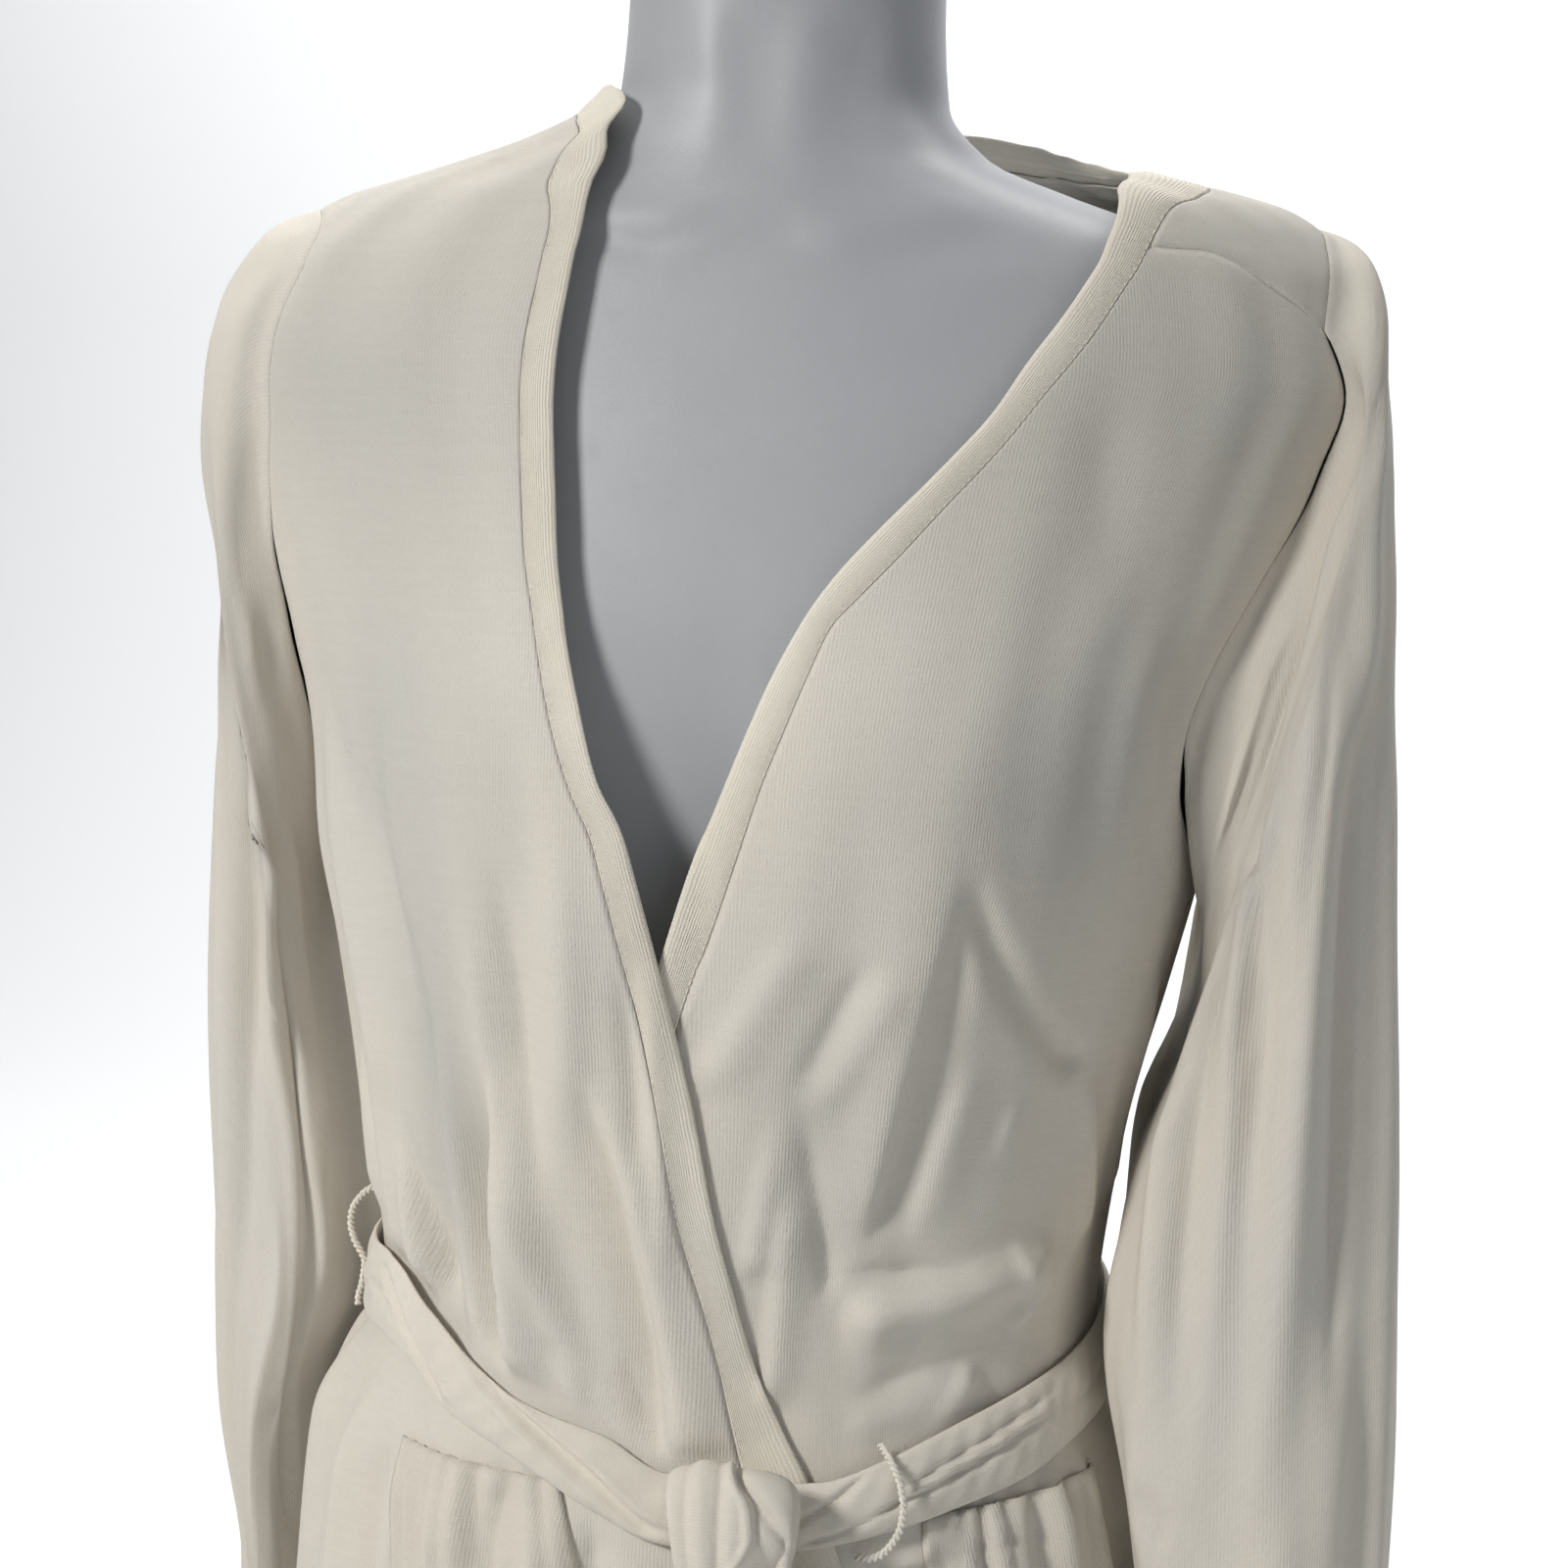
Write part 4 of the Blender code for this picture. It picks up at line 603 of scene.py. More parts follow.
# Dark specks in the jersey: cells a metre, the share of them with a speck, its radius in cells, its colour.
SPECK_CELLS = 26.0
SPECK_SHARE = 0.28
SPECK_RADIUS = 0.014
SPECK_COLOUR = (0.16, 0.14, 0.12)


# ---------------------------------------------------------------- sizes and colours

def length(name, description, default):
    """A size in metres that a user can change."""
    return bpy.props.FloatProperty(name=name, description=description, default=default, min=0.0001, max=0.02,
                                   precision=5, unit="LENGTH")


def colour(name, description, default):
    """A linear colour that a user can change."""
    return bpy.props.FloatVectorProperty(name=name, description=description, default=default, size=3, min=0.0,
                                         max=1.0, subtype="COLOR")


class WrapTopSizes(bpy.types.PropertyGroup):
    """Sizes of the cloth and its sewing"""

    cloth_wall: length("Jersey", "Thickness of the single jersey", 0.0009)
    wale_pitch: length("Wale pitch", "Distance from one knitted wale to the next", 0.0009)
    stitch_length: length("Stitch length", "Length of a stitch along the neckband", 0.0020)
    stitch_pitch: length("Stitch pitch", "Distance from one stitch to the next", 0.0028)
    stitch_width: length("Stitch width", "Thickness of a stitch's thread", 0.0005)
    thread_width: length("Thread loop", "Thickness of the thread loops that carry the belt", 0.0012)


class WrapTopColours(bpy.types.PropertyGroup):
    """Colours of the cloth, the thread and the form"""

    jersey_cool: colour("Jersey, cool", "Greyer parts of the jersey", (0.660, 0.628, 0.575))
    jersey_warm: colour("Jersey, warm", "Creamier parts of the jersey", (0.715, 0.665, 0.575))
    # Painted shade: the darker colour the jersey takes where it lies tight on the form, in its hollows and
    # fold valleys.
    jersey_cling_shade: colour("Jersey, clinging", "Jersey that lies tight on the form", (0.515, 0.500, 0.460))
    binding: colour("Binding", "The doubled jersey of the neckband", (0.765, 0.710, 0.600))
    binding_pale: colour("Binding, pale", "Paler parts of the neckband", (0.800, 0.755, 0.660))
    thread: colour("Thread", "Sewing thread", (0.80, 0.76, 0.68))
    form: colour("Form", "The form's plastic", (0.415, 0.428, 0.45))
    form_pale: colour("Form, pale", "Paler parts of the plastic", (0.47, 0.485, 0.505))
    form_smudge: colour("Form, smudges", "Handling marks on the plastic", (0.40, 0.41, 0.43))
    floor: colour("Floor", "Floor and backdrop", (0.86, 0.87, 0.88))


# ---------------------------------------------------------------- curves and surfaces

def smooth(places, values, at):
    """A smooth curve through the values: cubics whose slope is the harmonic mean of those on both sides."""
    at = np.clip(np.asarray(at, float), places[0], places[-1])
    step = np.diff(places)
    slope = np.diff(values) / step
    total = slope[:-1] + slope[1:]
    rising = slope[:-1] * slope[1:] > 0
    tangent = np.zeros_like(values)
    tangent[1:-1] = np.where(rising, 2 * slope[:-1] * slope[1:] / np.where(rising, total, 1), 0)
    tangent[0], tangent[-1] = slope[0], slope[-1]
    row = np.clip(np.searchsorted(places, at) - 1, 0, len(places) - 2)
    t = (at - places[row]) / step[row]
    return ((1 + 2 * t) * (1 - t) ** 2 * values[row] + t * (1 - t) ** 2 * step[row] * tangent[row]
            + t * t * (3 - 2 * t) * values[row + 1] + t * t * (t - 1) * step[row] * tangent[row + 1])


def fade(value):
    """0 below 0, 1 above 1, and 3 t squared less 2 t cubed between."""
    t = np.clip(value, 0, 1)
    return t * t * (3 - 2 * t)


def bell(value):
    """e to the power of minus the value squared."""
    return np.exp(-np.square(value))


def unit(vectors):
    """The same directions with a length of 1."""
    return vectors / np.linalg.norm(vectors, axis=-1, keepdims=True)


def wrapped(turn):
    """The same turn between -180 and 180 degrees."""
    return np.mod(np.asarray(turn, float) + 180, 360) - 180


def side_by_side(*parts):
    """Coordinates of one common shape, together on a last axis."""
    return np.stack(np.broadcast_arrays(*parts), -1)


def distances(line):
    """How far along a line each of its points is: the summed lengths of its steps."""
    return np.concatenate([[0], np.cumsum(np.linalg.norm(np.diff(line, axis=0), axis=1))])


def rounded(values, power):
    """Each value to a power, with its sign kept."""
    return np.sign(values) * np.abs(values) ** power


def crease_relief(rows, turn, height, round_unit, up_unit, foot_line=None):
    """Sum of a table's creases at each turn and height, in metres.

    A crease's chord joins its two ends, bowed as a parabola. Across it the relief is its depth times a
    bell curve with one width on the left and another on the right; along it, it fades in and out, but
    not out at its foot where that lies below the foot line.
    """
    total = np.zeros(np.broadcast(turn, height).shape)
    names = list(rows)
    for values in zip(*rows.values()):
        c = dict(zip(names, values))
        first, level, last, foot = (c[names[k]] for k in range(4))
        across = wrapped(turn - first) * round_unit
        up = (height - level) * up_unit
        run, drop = (last - first) * round_unit, (foot - level) * up_unit
        chord = math.hypot(run, drop)
        along = (across * run + up * drop) / chord ** 2
        aside = (up * run - across * drop) / chord
        aside = aside - c["bow"] * MM * 4 * np.clip(along, 0, 1) * (1 - np.clip(along, 0, 1))
        width = np.where(aside < 0, c["left"], c["right"]) * MM
        runs_out = foot_line is not None and foot < foot_line
        ends = fade(along / c["start"]) * (1 if runs_out else fade((1 - along) / c["end"]))
        total = total + c["depth"] * MM * bell(aside / width) * ends
    return total


def ring_point(sizes, bust, turn, height):
    """A point of the form or the cloth: a superellipse at each height, and the bust standing out in front.

    x is half-width times sine to the power 2 over the roundness, y depth times cosine to that power.
    """
    turn, height = np.broadcast_arrays(np.radians(turn), np.asarray(height, float))
    side, face = np.sin(turn), np.cos(turn)
    power = 2 / ROUNDNESS
    half = np.where(side < 0, smooth(sizes["height"], sizes["right"], height),
                    smooth(sizes["height"], sizes["left"], height))
    depth = np.where(face > 0, -smooth(sizes["height"], sizes["front"], height),
                     smooth(sizes["height"], sizes["back"], height))
    x = half * rounded(side, power)
    y = depth * np.abs(face) ** power
    away = (np.abs(x) - BUST["across"]) / BUST["spread"]
    across = bell(away)
    if bust["bridge"] is not None:
        bridge = 1 - bust["bridge"] * (1 - np.abs(x) / BUST["across"]) ** 2
        across = np.where(away > 0, across, bridge)
    reach = np.where(height > BUST["height"], BUST["above"], bust["below"])
    swell = bust["depth"] * across * bell((height - BUST["height"]) / reach)
    y = y - np.where(face > 0, swell * (1 - (np.abs(x) / half) ** 6), 0)
    return np.stack([x, y, height], -1)


def inner_face(turn, height):
    """A point of the cloth's inner face before its creases."""
    return ring_point(BODY, CLOTH_BUST, turn, height)


def moved_out(shape, turn, height, out):
    """Points of a ring surface, moved out along its normal: the cross product of its two differences."""
    turn, height, out = np.broadcast_arrays(np.asarray(turn, float), np.asarray(height, float), out)
    east = shape(turn + PROBE_TURN, height) - shape(turn - PROBE_TURN, height)
    rise = shape(turn, height + PROBE) - shape(turn, height - PROBE)
    return shape(turn, height) + unit(np.cross(east, rise)) * out[..., None]


def belt_middle(turn):
    """Height of the belt's middle at a turn."""
    at = np.mod(np.asarray(turn, float) - 8, 360) + 8
    return smooth(BELT["turn"], (BELT["top"] + BELT["bottom"]) / 2, at)


def folds(turn, height):
    """How far the creases carry the cloth out, and the sum of slow sine waves; the belt holds them flat."""
    relief = crease_relief(CREASES, turn, height, math.radians(1) * CREASE_RADIUS, 1.0, HEM_HEIGHT)
    for around, upwards, phase, depth in zip(*CRUMPLE.values()):
        relief = relief + depth * MM * np.sin(np.radians(around * turn) + upwards * height + phase)
    held = 1 - 0.94 * fade((BELT_HOLD - np.abs(height - belt_middle(turn))) / HOLD_BLEND)
    return relief * held


def surface(turn, height, out):
    """A point of the draped cloth, moved out from the inner face along the surface's normal."""
    relief = folds(np.asarray(turn, float), np.asarray(height, float))
    return moved_out(inner_face, turn, height, out + relief)


def lap(turn, height):
    """How far the right front is raised where it lies on the left front."""
    rows = slice(0, LEFT_CORNER_ROW)
    start = smooth(NECKBAND["edge_height"][rows], NECKBAND["edge_turn"][rows], height) - LAP["before"]
    below_top = fade((LAP["top"] - height) / LAP["rise"])
    return LAP_RAISE * fade((wrapped(turn) - start) / LAP["turns"]) * below_top


def sink(turn, height):
    """How far the left front lies in under the right one, where it is hidden."""
    rows = slice(RIGHT_NECK_ROW + 8, None)
    lowered = -np.asarray(height, float)
    over = smooth(-NECKBAND["seam_height"][rows], NECKBAND["seam_turn"][rows] - 360, lowered)
    return -HIDDEN_SINK * fade((over - turn) / SINK["turns"]) * fade((SINK["top"] - height) / SINK["rise"])


def places_along(path, count):
    """Row numbers that are evenly spaced along the smooth curve through a path, by its summed length."""
    rows = np.arange(len(path["turn"]), dtype=float)
    fine = np.linspace(0, rows[-1], 80 * len(rows))
    line = inner_face(smooth(rows, path["turn"], fine), smooth(rows, path["height"], fine))
    run = distances(line)
    return np.interp(np.linspace(0, run[-1], count), run, fine)


def along(path, count):
    """Evenly spaced turns and heights on the smooth curve through a path."""
    rows = np.arange(len(path["turn"]), dtype=float)
    at = places_along(path, count)
    return np.stack([smooth(rows, path["turn"], at), smooth(rows, path["height"], at)], -1)


def flipped(path):
    """The same path from its other end."""
    return {name: column[::-1] for name, column in path.items()}


def shifted(path, turns):
    """The same path a number of degrees round."""
    return {"turn": path["turn"] + turns, "height": path["height"]}


def neck_places(first, last, count):
    """Row numbers evenly spaced along the neckband's seam between two of its rows."""
    rows = slice(first, last + 1)
    path = {"turn": NECKBAND["seam_turn"][rows], "height": NECKBAND["seam_height"][rows]}
    return first + places_along(path, count)


def neck_line(edge, places):
    """Turns and heights of the neckband's seam or free edge at row numbers."""
    rows = np.arange(len(NECKBAND["seam_turn"]), dtype=float)
    return np.stack([smooth(rows, NECKBAND[f"{edge}_{name}"], places) for name in ("turn", "height")], -1)


NECK_PLACES = {
    "left": neck_places(0, LEFT_CORNER_ROW, PANEL_ROWS),
    "left yoke": neck_places(LEFT_CORNER_ROW, LEFT_YOKE_ROW, LEFT_YOKE_ROWS),
    "back": neck_places(LEFT_YOKE_ROW, RIGHT_YOKE_ROW, NECK_COLUMNS),
    "right yoke": neck_places(RIGHT_YOKE_ROW, RIGHT_NECK_ROW, RIGHT_YOKE_ROWS),
    "right": neck_places(RIGHT_NECK_ROW, len(NECKBAND["seam_turn"]) - 1, PANEL_ROWS),
}


def patch(left, right, bottom, top):
    """A grid between four edges: the two straight blends of opposite edges, less the blend of the corners."""
    v = np.linspace(0, 1, len(left))[:, None, None]
    u = np.linspace(0, 1, len(bottom))[None, :, None]
    corners = ((1 - u) * (1 - v) * bottom[0] + u * (1 - v) * bottom[-1]
               + (1 - u) * v * top[0] + u * v * top[-1])
    return (1 - u) * left[:, None] + u * right[:, None] + (1 - v) * bottom[None] + v * top[None] - corners


def run_length(grid, axis):
    """Distance of each point of a grid of turns and heights from the first one along an axis."""
    steps = np.linalg.norm(np.diff(inner_face(grid[..., 0], grid[..., 1]), axis=axis), axis=-1)
    shape = list(steps.shape)
    shape[axis] = 1
    return np.concatenate([np.zeros(shape), np.cumsum(steps, axis=axis)], axis=axis)


def seam_dip(grid, **depths):
    """The valley that each seam pulls into the cloth: minus its depth times a bell curve of the distance."""
    across, up = run_length(grid, 1), run_length(grid, 0)
    away = {"left": across, "right": across[:, -1:] - across, "bottom": up, "top": up[-1:] - up}
    dips = [depth * MM * bell(away[name] / SEAM_HALF_WIDTH) for name, depth in depths.items()]
    return -np.max(dips, axis=0)


def hem_relief(height, foot):
    """A turned-up hem: about a third of a millimetre thicker below its stitching, which lies in a groove."""
    above = height - foot - HEM_DEPTH
    return HEM_THICKER * fade(-above / (2 * MM)) - HEM_GROOVE * bell(above / (1.8 * MM))


# ---------------------------------------------------------------- meshes

def grid_quads(rows, columns, closed=False):
    """Corner numbers of a grid's quads, as one array; a closed grid joins its last column to its first."""
    row, column = np.mgrid[0:rows - 1, 0:columns if closed else columns - 1]
    right = (column + 1) % columns
    corners = (row * columns + column, row * columns + right,
               (row + 1) * columns + right, (row + 1) * columns + column)
    return np.stack(corners, -1).reshape(-1, 4)


def add_mesh(name, points, faces, material, uv=None, values=None):
    """A smooth mesh object from whole arrays; uv has one pair for each corner of each quad."""
    mesh = bpy.data.meshes.new(name)
    corners = faces if isinstance(faces, list) else faces.tolist()
    mesh.from_pydata(np.reshape(points, (-1, 3)).tolist(), [], corners)
    mesh.shade_smooth()
    if uv is not None:
        layer = mesh.uv_layers.new(name="cloth")
        layer.data.foreach_set("uv", np.ascontiguousarray(uv, np.float32).ravel())
    for key, value in (values or {}).items():
        store = mesh.attributes.new(key, "FLOAT", "POINT")
        store.data.foreach_set("value", np.ascontiguousarray(value, np.float32).ravel())
    mesh.materials.append(material)
    thing = bpy.data.objects.new(name, mesh)
    bpy.context.scene.collection.objects.link(thing)
    return thing


def add_sheet(name, points, uv, material, wall, closed=False, values=None, offset=1.0):
    """A sheet on a grid of points, with cloth coordinates in metres, given its thickness by Solidify."""
    rows, columns = points.shape[:2]
    corners = uv.reshape(-1, 2)[grid_quads(rows, uv.shape[1])]
    thing = add_mesh(name, points, grid_quads(rows, columns, closed), material, corners, values)
    return thicken(thing, wall, offset)


def thicken(thing, wall, offset):
    """Give a sheet its thickness: offset 1 grows it outwards and -1 inwards."""
    solidify = thing.modifiers.new("wall", "SOLIDIFY")
    solidify.thickness = wall
    solidify.offset = offset
    return thing


def finish_piece(thing, slot, *nodes):
    """Let a piece ride on the root body and stand for its nodes; the slot is not used."""
    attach(thing, "root")
    if nodes:
        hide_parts(*nodes)
    return thing


# ---------------------------------------------------------------- materials

def maths(operation, swapped=False):
    """A method that makes one Math node of a value and another, or of the other and the value."""
    def method(value, other=0.0):
        first, second = (other, value) if swapped else (value, other)
        return value.finish.node("ShaderNodeMath", {"operation": operation}, {0: first, 1: second})
    return method


class Shade:
    """A value of a material's node tree, so that shader maths reads as a plain expression."""

    def __init__(self, finish, socket):
        self.finish, self.socket = finish, socket

    __add__ = maths("ADD")
    __radd__ = maths("ADD", swapped=True)
    __sub__ = maths("SUBTRACT")
    __mul__ = maths("MULTIPLY")
    __rmul__ = maths("MULTIPLY", swapped=True)
    __lt__ = maths("LESS_THAN")
    __gt__ = maths("GREATER_THAN")
    sine = maths("SINE")


class Finish:
    """A material in the making: it adds nodes, and wraps what they give."""

    def __init__(self, name):
        self.material = bpy.data.materials.new(name)
        self.material.use_nodes = True
        self.tree = self.material.node_tree
        self.shader = self.tree.nodes["Principled BSDF"]

    def node(self, kind, settings=None, sockets=None, output=0):
        """Any node: its settings first, then the values or links of its sockets; gives one output."""
        node = self.tree.nodes.new(kind)
        for name, value in (settings or {}).items():
            setattr(node, name, value)
        for key, value in (sockets or {}).items():
            self.put(node.inputs[key], value)
        return Shade(self, node.outputs[output])

    def put(self, socket, value):
        """Link a value to a socket, or set it there."""
        if isinstance(value, Shade):
            self.tree.links.new(value.socket, socket)
        else:
            socket.default_value = value

    def mix(self, factor, first, second):
        """A colour between two."""
        colours = {0: factor, 6: opaque(first), 7: opaque(second)}
        return self.node("ShaderNodeMix", {"data_type": "RGBA"}, colours, output=2)

    def times(self, vector, scale):
        """A vector or colour multiplied part by part by three numbers, or by a vector."""
        return self.node("ShaderNodeVectorMath", {"operation": "MULTIPLY"}, {0: vector, 1: scale})

    def tinted(self, colour, factor):
        """A colour made lighter or darker by a value."""
        return self.times(colour, self.node("ShaderNodeCombineXYZ", None, {0: factor, 1: factor, 2: factor}))

    def noise(self, vector, scale, detail=2.0, roughness=0.5):
        """Noise centred on 0."""
        sockets = {"Vector": vector, "Scale": scale, "Detail": detail, "Roughness": roughness}
        return self.node("ShaderNodeTexNoise", None, sockets) - 0.5

    def fibres(self, vector, scales, detail):
        """Noise centred on 0 that is finer one way than another: so many grains a metre each way."""
        return self.noise(self.times(vector, scales), 1.0, detail, 0.6)

    def bump(self, height, distance):
        """Feed a height to the shader's normal."""
        sockets = {"Height": height, "Distance": distance, "Strength": 1.0}
        self.put(self.shader.inputs["Normal"], self.node("ShaderNodeBump", None, sockets))

    def settle(self, **values):
        """Set or link the shader's own sockets; an underscore stands for a space."""
        for name, value in values.items():
            self.put(self.shader.inputs[name.replace("_", " ")], value)
        return self.material


def opaque(colour):
    """A colour with full alpha, or a link as it is."""
    return colour if isinstance(colour, Shade) else (*colour[:3], 1.0)


def knit(finish, wale_pitch):
    """Coordinates of the cloth, its wales and its courses: sines of the cloth's own coordinates."""
    place = finish.node("ShaderNodeUVMap", {"uv_map": "cloth"})
    wander = finish.noise(place, 90.0, 1.0) * (0.5 * wale_pitch)
    u, v = (finish.node("ShaderNodeSeparateXYZ", None, {0: place}, output=k) for k in (0, 1))
    wales = ((u + wander) * (2 * math.pi / wale_pitch)).sine()
    courses = ((v + wander) * (2 * math.pi / (0.8 * wale_pitch))).sine()
    return place, wales, courses


def jersey_finish(name, colours, sizes, tone=1.0, warmth=0.0):
    """Fine single jersey: wales, slubs along the courses, fuzz, slow drift of colour, and painted shade where
    it clings.

    Lightness is the tone plus weighted noises, and the bump's height is a weighted sum of all of them.
    """
    finish = Finish(name)
    place, wales, courses = knit(finish, sizes.wale_pitch)
    slubs = finish.fibres(place, (26.0, 520.0, 0.0), 3.0)
    fuzz = finish.fibres(place, (1500.0, 1100.0, 0.0), 2.0)
    spots = finish.noise(place, 210.0, 3.0, 0.6)
    drift = finish.noise(place, 9.0, 2.0)
    # Painted shade: where the cloth clings, in hollows and fold valleys, the jersey turns to the darker
    # clinging colour.
    cling_shade = finish.node("ShaderNodeAttribute", {"attribute_name": "cling_shade"}, None, output=2)
    warm = finish.mix(drift * 1.6 + (0.45 + warmth), colours.jersey_cool, colours.jersey_warm)
    with_cling_shade = finish.mix(cling_shade, warm, colours.jersey_cling_shade)
    light = tone + slubs * 0.075 + fuzz * 0.13 + spots * 0.05 + wales * 0.012
    cells = {"Vector": place, "Scale": SPECK_CELLS}
    near, chance = (finish.node("ShaderNodeTexVoronoi", {"feature": "F1"}, cells, output=k) for k in (0, 1))
    picked = finish.node("ShaderNodeSeparateColor", None, {0: chance}) > 1 - SPECK_SHARE
    colour = finish.mix((near < SPECK_RADIUS) * picked, finish.tinted(with_cling_shade, light), SPECK_COLOUR)
    height = wales * 0.16 + courses * 0.08 + fuzz * 0.9 + slubs * 0.35 + spots * 0.5
    finish.bump(height, 0.00020)
    return finish.settle(Base_Color=colour, Roughness=0.88, Sheen_Weight=0.06, Sheen_Roughness=0.45,
                         Specular_IOR_Level=0.25)


def binding_finish(name, colours, sizes):
    """Doubled jersey of the neckband: creamier, denser, with faint ribs across it."""
    finish = Finish(name)
    place, wales, courses = knit(finish, 0.85 * sizes.wale_pitch)
    fuzz = finish.fibres(place, (1300.0, 1300.0, 0.0), 2.0)
    slubs = finish.fibres(place, (380.0, 70.0, 0.0), 3.0)
    drift = finish.noise(place, 12.0, 2.0)
    base = finish.mix(drift * 1.5 + 0.5, colours.binding, colours.binding_pale)
    light = 1.0 + fuzz * 0.13 + slubs * 0.07 + wales * 0.015
    finish.bump(wales * 0.4 + courses * 0.2 + fuzz * 0.9 + slubs * 0.5, 0.00016)
    return finish.settle(Base_Color=finish.tinted(base, light), Roughness=0.86, Sheen_Weight=0.06,
                         Sheen_Roughness=0.45, Specular_IOR_Level=0.25)


def thread_finish(name, colours):
    """Matt sewing thread: fine fibres along its own coordinates."""
    finish = Finish(name)
    place = finish.node("ShaderNodeUVMap", {"uv_map": "cloth"})
    fibres = finish.fibres(place, (900.0, 5200.0, 0.0), 2.0)
    light = 1.0 + fibres * 0.22
    finish.bump(fibres, 0.0001)
    return finish.settle(Base_Color=finish.tinted(colours.thread, light), Roughness=0.7, Sheen_Weight=0.2,
                         Specular_IOR_Level=0.35)


def form_finish(name, colours):
    """Satin grey plastic: cloudy handling marks, faint scuffs and a very fine moulding texture."""
    finish = Finish(name)
    place = finish.node("ShaderNodeTexCoord", None, None, output=3)
    clouds = finish.noise(place, 16.0, 4.0, 0.6)
    marks = finish.noise(place, 60.0, 5.0, 0.65)
    grain = finish.noise(place, 1400.0, 2.0, 0.5)
    scuffs = finish.fibres(place, (220.0, 220.0, 14.0), 3.0)
    smudge = finish.node("ShaderNodeMapRange", {"interpolation_type": "SMOOTHSTEP"},
                         {0: marks + clouds * 0.6, 1: 0.06, 2: 0.26, 3: 0.0, 4: 1.0})
    base = finish.mix(smudge * 0.30, finish.mix(clouds * 1.4 + 0.5, colours.form, colours.form_pale),
                      colours.form_smudge)
    light = 1.0 + grain * 0.05 + scuffs * 0.02
    finish.bump(grain * 0.5 + clouds * 3.0, 0.00012)
    return finish.settle(Base_Color=finish.tinted(base, light), Roughness=smudge * 0.10 + 0.42,
                         Specular_IOR_Level=0.42)


def floor_finish(name, colours):
    """Plain pale paper."""
    finish = Finish(name)
    place = finish.node("ShaderNodeTexCoord", None, None, output=3)
    light = 1.0 + finish.noise(place, 3.0, 2.0) * 0.01
    return finish.settle(Base_Color=finish.tinted(colours.floor, light), Roughness=0.9)


MATERIALS = {}


def material(key):
    """One of the finishes, made when it is first asked for."""
    colours, sizes = bpy.context.scene.wrap_top_colours, bpy.context.scene.wrap_top_sizes
    makers = {
        "jersey": lambda: jersey_finish("fine jersey", colours, sizes),
        "belt jersey": lambda: jersey_finish("doubled belt jersey", colours, sizes, 1.03, 0.25),
        "pocket jersey": lambda: jersey_finish("pocket jersey", colours, sizes, 0.93, 0.35),
        "binding": lambda: binding_finish("neckband jersey", colours, sizes),
        "thread": lambda: thread_finish("sewing thread", colours),
        "form": lambda: form_finish("satin form plastic", colours),
        "floor": lambda: floor_finish("pale floor paper", colours),
    }
    if key not in MATERIALS:
        MATERIALS[key] = makers[key]()
    return MATERIALS[key]


# ---------------------------------------------------------------- the form

def add_form():
    """The form: rings from a flat base to the flat, softly rounded top of the neck, with its relief.

    Each ring is shrunk towards the axis near the two ends, by the cosine and sine of a quarter turn.
    """
    quarter = np.linspace(0, np.pi / 2, 7)
    opening, closing = FORM_BEVEL * (1 - np.sin(quarter)), FORM_BEVEL * (1 - np.cos(quarter))
    flat_shares = np.array([0.02, 0.35, 0.7])
    flat_edge = np.full(len(flat_shares), FORM_BEVEL)
    middle = np.linspace(FORM_BEVEL, FORM_TOP - FORM_BEVEL, FORM_RINGS)[1:-1]
    upright = np.zeros(len(middle) + 2 * len(quarter))
    inset = np.concatenate([1 - flat_shares, upright, 1 - flat_shares[::-1]])
    heights = np.concatenate([0 * flat_edge, closing, middle, FORM_TOP - opening, 0 * flat_edge + FORM_TOP])
    edge = np.concatenate([flat_edge, opening, 0 * middle, closing, flat_edge])
    turns = np.linspace(0, 360, FORM_AROUND, endpoint=False)[None]
    z = heights[:, None]
    relief = crease_relief(FORM_RELIEF, turns, z, math.radians(1) * FORM_RADIUS, 1.0)
    out = relief - edge[:, None]
    points = moved_out(lambda t, h: ring_point(FORM, FORM_BUST, t, h), turns, z, out)
    centre = np.array([0.0, (points[0, :, 1].min() + points[0, :, 1].max()) / 2])
    points[..., 2] = z
    points[..., :2] = centre + (points[..., :2] - centre) * (1 - inset[:, None, None])
    uv = side_by_side(np.linspace(0, 0.8, FORM_AROUND + 1)[None], z)
    thing = add_tubes("form_body", points[None], uv[None], material("form"))
    finish_piece(thing, "form_plastic", "dress_form")


# ---------------------------------------------------------------- the panels

def cloth_uv(grid):
    """Cloth coordinates in metres: the arc at a fixed radius, and the height."""
    return np.stack([np.radians(grid[..., 0]) * CLOTH_ARC_RADIUS, grid[..., 1]], -1)


def cling_shade(turn, height):
    """Painted shade where the cloth lies against the form, in its hollows and fold valleys: a sum of spots,
    each a product of two bells.
    """
    total = 0.0
    for one_side, middle, width, level, rise, share in zip(*CLING_SHADE.values()):
        bend = np.where(one_side, wrapped(turn), np.abs(wrapped(turn)))
        total = total + share * bell((bend - middle) / width) * bell((height - level) / rise)
    return np.clip(total, 0, 1)


def side_line(armhole):
    """The outer edge of a panel: up its side seam and on up its armhole."""
    turn, top = armhole["turn"][-1], armhole["height"][-1]
    side = table("turn height", [(turn, HEM_HEIGHT), (turn, 0.28), (turn, top)])
    return np.concatenate([along(side, SIDE_ROWS), along(flipped(armhole), ARMHOLE_ROWS)[1:]])


def right_front_grid():
    """Turns and heights of the front that laps over, from its side seam to the neckband's seam."""
    side = side_line(shifted(RIGHT_FRONT_ARMHOLE, -360))
    edge = (neck_line("seam", NECK_PLACES["right"]) - [360, 0])[::-1]
    hem = table("turn height", [(-90, HEM_HEIGHT), (edge[0, 0], edge[0, 1])])
    shoulder = table("turn height", [(-90, 0.704), (-90, 0.720), (-90, 0.736)])
    return patch(side, edge, along(hem, RIGHT_COLUMNS), along(shoulder, RIGHT_COLUMNS))


